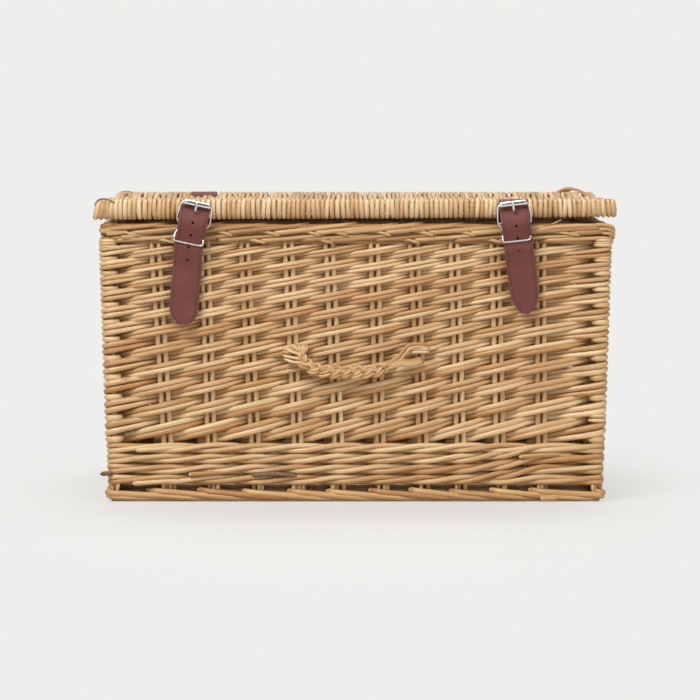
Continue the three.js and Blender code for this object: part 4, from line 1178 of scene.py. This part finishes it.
# handle: three double strands, plaited
handle = {
    "path": ((-47.4, 136.0), (-47.8, 132.0), (-46.6, 127.0), (-42.4, 121.6), (-33.4, 117.4), (-22.0, 115.4),
             (-7.6, 115.2), (9.5, 115.4), (19.8, 116.8), (25.0, 119.0)),
    "y": -164.2, "turn": 28.0, "swing": 3.7, "depth": 1.5, "fan": 3.6, "twin": 1.65, "rod": 1.65,
    "ties": (-55.4, 55.6), "tieHeight": 134, "tieStep": 2.6, "tieRod": 1.3,
    "tieLoop": ((7.2, -141.4), (0, -141.2), (-7.2, -141.4), (-8, -146), (-8, -157.5), (-6.9, -162.2),
                (0, -162.8), (6.9, -162.2), (8, -157.5), (8, -146)),  # round a stake pair
}
# the two ways that the rods take at the right end, as (x, y, z)
handleEnds = (
    ((31, -164.4, 122.8), (38.4, -164.8, 127.4), (42.8, -164.8, 133.2), (47.6, -164.4, 137.6),
     (54, -163.6, 138.6), (60, -161.0, 137.8), (63, -157.5, 137.2)),
    ((31, -164.0, 121.4), (39.0, -164.4, 123.4), (46.6, -164.2, 123.0), (53.0, -162.6, 124.0),
     (58.0, -159.0, 125.4)),
)
# loose ends at the left end
handleTips = (
    ((-47.0, -163.8, 130.0), (-53.5, -165.2, 132.6), (-59.6, -163.6, 134.4)),
    ((-47.4, -163.8, 126.6), (-55.0, -165.0, 128.0), (-63.0, -162.8, 129.6)),
    ((-47.0, -163.8, 123.6), (-54.0, -164.6, 124.0), (-62.0, -162.6, 126.4)),
    ((-46.6, -163.4, 133.0), (-51.0, -165.4, 136.0), (-55.6, -164.0, 138.2)),
)


def plait():
    middle = smoothPath([Vector((x, handle["y"], z)) for x, z in handle["path"]], 1.0)
    runs = runLengths(middle)
    rods = []
    for k in range(3):
        for pair in (-1, 1):
            path = []
            for i, spot in enumerate(middle[:-1]):
                way = (middle[i + 1] - spot).normalized()
                side = Vector((-way.z, 0, way.x))
                phase = 2 * math.pi * (runs[i] / handle["turn"] + k / 3)
                fan = max(0.0, 1 - 9 * (runs[i] / runs[-1]))  # the strands come together at the start
                crossing = 0.35 * math.sin(phase) + 0.65 * math.asin(math.sin(phase)) / (math.pi / 2)
                across = handle["swing"] * crossing * (1 - fan) + (k - 1) * handle["fan"] * fan
                depth = handle["depth"] * math.sin(2 * phase) * (1 - fan)
                path.append(spot + side * (across + pair * handle["twin"] * (0.8 + 0.2 * math.cos(phase)))
                            + Vector((0, depth, 0)))
            path = path[::2]
            # the start is tucked in behind the wall rods, the end follows one of the two ways
            path[0:0] = [path[0] + Vector((0, 5.4, 2.4)), path[0] + Vector((0, 1.8, 1.8))]
            upper = k == 0
            aside = pair * 1.6 if upper else (k - 1.5) * 3.4 + pair * 0.8
            for j, (x, y, z) in enumerate(handleEnds[0 if upper else 1]):
                turn = 0.6 if upper else 0.2
                path.append(Vector((x + aside * turn, y - 0.5 * k, z - aside * (0.8 if j < 4 else 0.9))))
            tone = (dice.uniform(0.05, 0.55), dice.random(), dice.random())
            rods.append(newRod(smoothPath(path, 1.5), handle["rod"], handle["rod"] * 0.9, tone))
    return rods


rodPiece("handle_plait", plait(), "handle", wallWillow, ["front_handle"])
ties = []
for x in handle["ties"]:
    for k in range(2):
        z = handle["tieHeight"] + (k - 0.5) * handle["tieStep"]
        ring = [Vector((x + ax, ay, z)) for ax, ay in handle["tieLoop"]]
        ties.append(newRod(smoothPath(ring, 3, closed=True), handle["tieRod"], closed=True))
for line in handleTips:
    ties.append(newRod(smoothPath(line, 2), 1.45, 1.2, (0.9, 0.3, 0.3)))
rodPiece("handle_ties", ties, "basket", wallWillow, ["left_handle_tie", "right_handle_tie"])
print("stage: handle")

# stage and light, in metres
stageLook = {
    "paper": (0.86, 0.855, 0.84, 1), "floorDark": (0.60, 0.59, 0.575), "floorLight": (0.64, 0.63, 0.615),
    "glow": (0.25, 0.8, 0.5, 1.0), "shape": (2.1, 1, 1),  # where the floor's shadow fades into the paper
    "sky": (0.97, 0.91, 0.84, 1), "skyStrength": 0.32,
}


# a floor that the camera sees as paper, but for the shadow round the chest
def floorMaterial():
    material, tree, make, shader = newMaterial("pale_floor")
    wire = tree.links.new
    shader.inputs["Roughness"].default_value = 0.9
    noise = make("ShaderNodeTexNoise")
    noise.inputs["Scale"].default_value = 3
    wire(make("ShaderNodeTexCoord").outputs["Object"], noise.inputs["Vector"])
    color = make("ShaderNodeValToRGB")
    ramp(color, [(0.3, stageLook["floorDark"]), (0.7, stageLook["floorLight"])])
    wire(noise.outputs["Fac"], color.inputs[0])
    wire(color.outputs[0], shader.inputs["Base Color"])
    wider = make("ShaderNodeVectorMath", operation="MULTIPLY")
    wider.inputs[1].default_value = stageLook["shape"]
    wire(make("ShaderNodeTexCoord").outputs["Object"], wider.inputs[0])
    reach = make("ShaderNodeVectorMath", operation="LENGTH")
    wire(wider.outputs["Vector"], reach.inputs[0])
    far = make("ShaderNodeMapRange", interpolation_type="SMOOTHSTEP")
    setRange(far, *stageLook["glow"])
    wire(reach.outputs["Value"], far.inputs[0])
    share = make("ShaderNodeMath", operation="MULTIPLY")
    wire(make("ShaderNodeLightPath").outputs["Is Camera Ray"], share.inputs[0])
    wire(far.outputs[0], share.inputs[1])
    glow = make("ShaderNodeEmission")
    glow.inputs["Color"].default_value = stageLook["paper"]
    mixer = make("ShaderNodeMixShader")
    for k, source in enumerate((share, shader, glow)):
        wire(source.outputs[0], mixer.inputs[k])
    wire(mixer.outputs[0], tree.nodes["Material Output"].inputs["Surface"])
    return material


def flatSheet(name, size, material, upright=None):
    made = bmesh.new()
    bmesh.ops.create_grid(made, x_segments=1, y_segments=1, size=size)
    if upright:
        bmesh.ops.rotate(made, matrix=Matrix.Rotation(math.pi / 2, 3, "X"), verts=made.verts)
        bmesh.ops.scale(made, vec=upright, verts=made.verts)
    mesh = bpy.data.meshes.new(name)
    made.to_mesh(mesh)
    made.free()
    return link(name, mesh, material)


# light from all sides, while the camera sees paper
def studioWorld():
    world = bpy.data.worlds.new("studio")
    world.use_nodes = True
    tree = world.node_tree
    make = nodeMaker(tree)
    back = tree.nodes["Background"]
    back.inputs["Color"].default_value = stageLook["sky"]
    back.inputs["Strength"].default_value = stageLook["skyStrength"]
    seen = make("ShaderNodeBackground")
    seen.inputs["Color"].default_value = stageLook["paper"]
    mixer = make("ShaderNodeMixShader")
    tree.links.new(make("ShaderNodeLightPath").outputs["Is Camera Ray"], mixer.inputs[0])
    tree.links.new(back.outputs[0], mixer.inputs[1])
    tree.links.new(seen.outputs[0], mixer.inputs[2])
    tree.links.new(mixer.outputs[0], tree.nodes["World Output"].inputs["Surface"])
    return world


def lamp(name, place, target, size, power):
    data = bpy.data.lights.new(name, "AREA")
    data.size = size
    data.energy = power
    thing = bpy.data.objects.new(name, data)
    thing.location = place
    way = Vector(target) - Vector(place)
    thing.rotation_euler = way.to_track_quat("-Z", "Y").to_euler()
    collection.objects.link(thing)


floor = flatSheet("floor", 6, floorMaterial())
floor.location = (0, 0, -0.0002)
bpy.context.scene.world = studioWorld()

# a dark cloth in front that only reflections show
clothLook = plainMaterial("dark_cloth", (0.03, 0.025, 0.02), (0.015, 0.012, 0.01), 4, (0.8, 0.9))
cloth = flatSheet("dark_cloth", 0.5, clothLook, (2.4, 1, 1.4))
cloth.location = (0, -1.5, 0.3)
cloth.visible_camera = cloth.visible_diffuse = cloth.visible_shadow = False

lamp("key", (-1.0, -1.6, 1.9), (0, 0, 0.12), 1.0, 52)
lamp("fill", (1.6, -1.8, 1.0), (0, 0, 0.12), 1.6, 21)
lamp("top", (0.1, 0.85, 1.9), (0, 0, 0.1), 1.2, 26)

# the focal length and the picture are in pixels
shot = {"place": (-0.0048, -3.2044, 0.3385), "down": 3.83, "sensor": 36, "focal": 3489, "picture": 700}
camera = bpy.data.cameras.new("camera")
camera.sensor_width = shot["sensor"]
camera.lens = shot["sensor"] * shot["focal"] / shot["picture"]
holder = bpy.data.objects.new("camera", camera)
holder.location = shot["place"]
holder.rotation_euler = (math.radians(90 - shot["down"]), 0, 0)
collection.objects.link(holder)
bpy.context.scene.camera = holder
bpy.context.scene.view_settings.view_transform = "Standard"
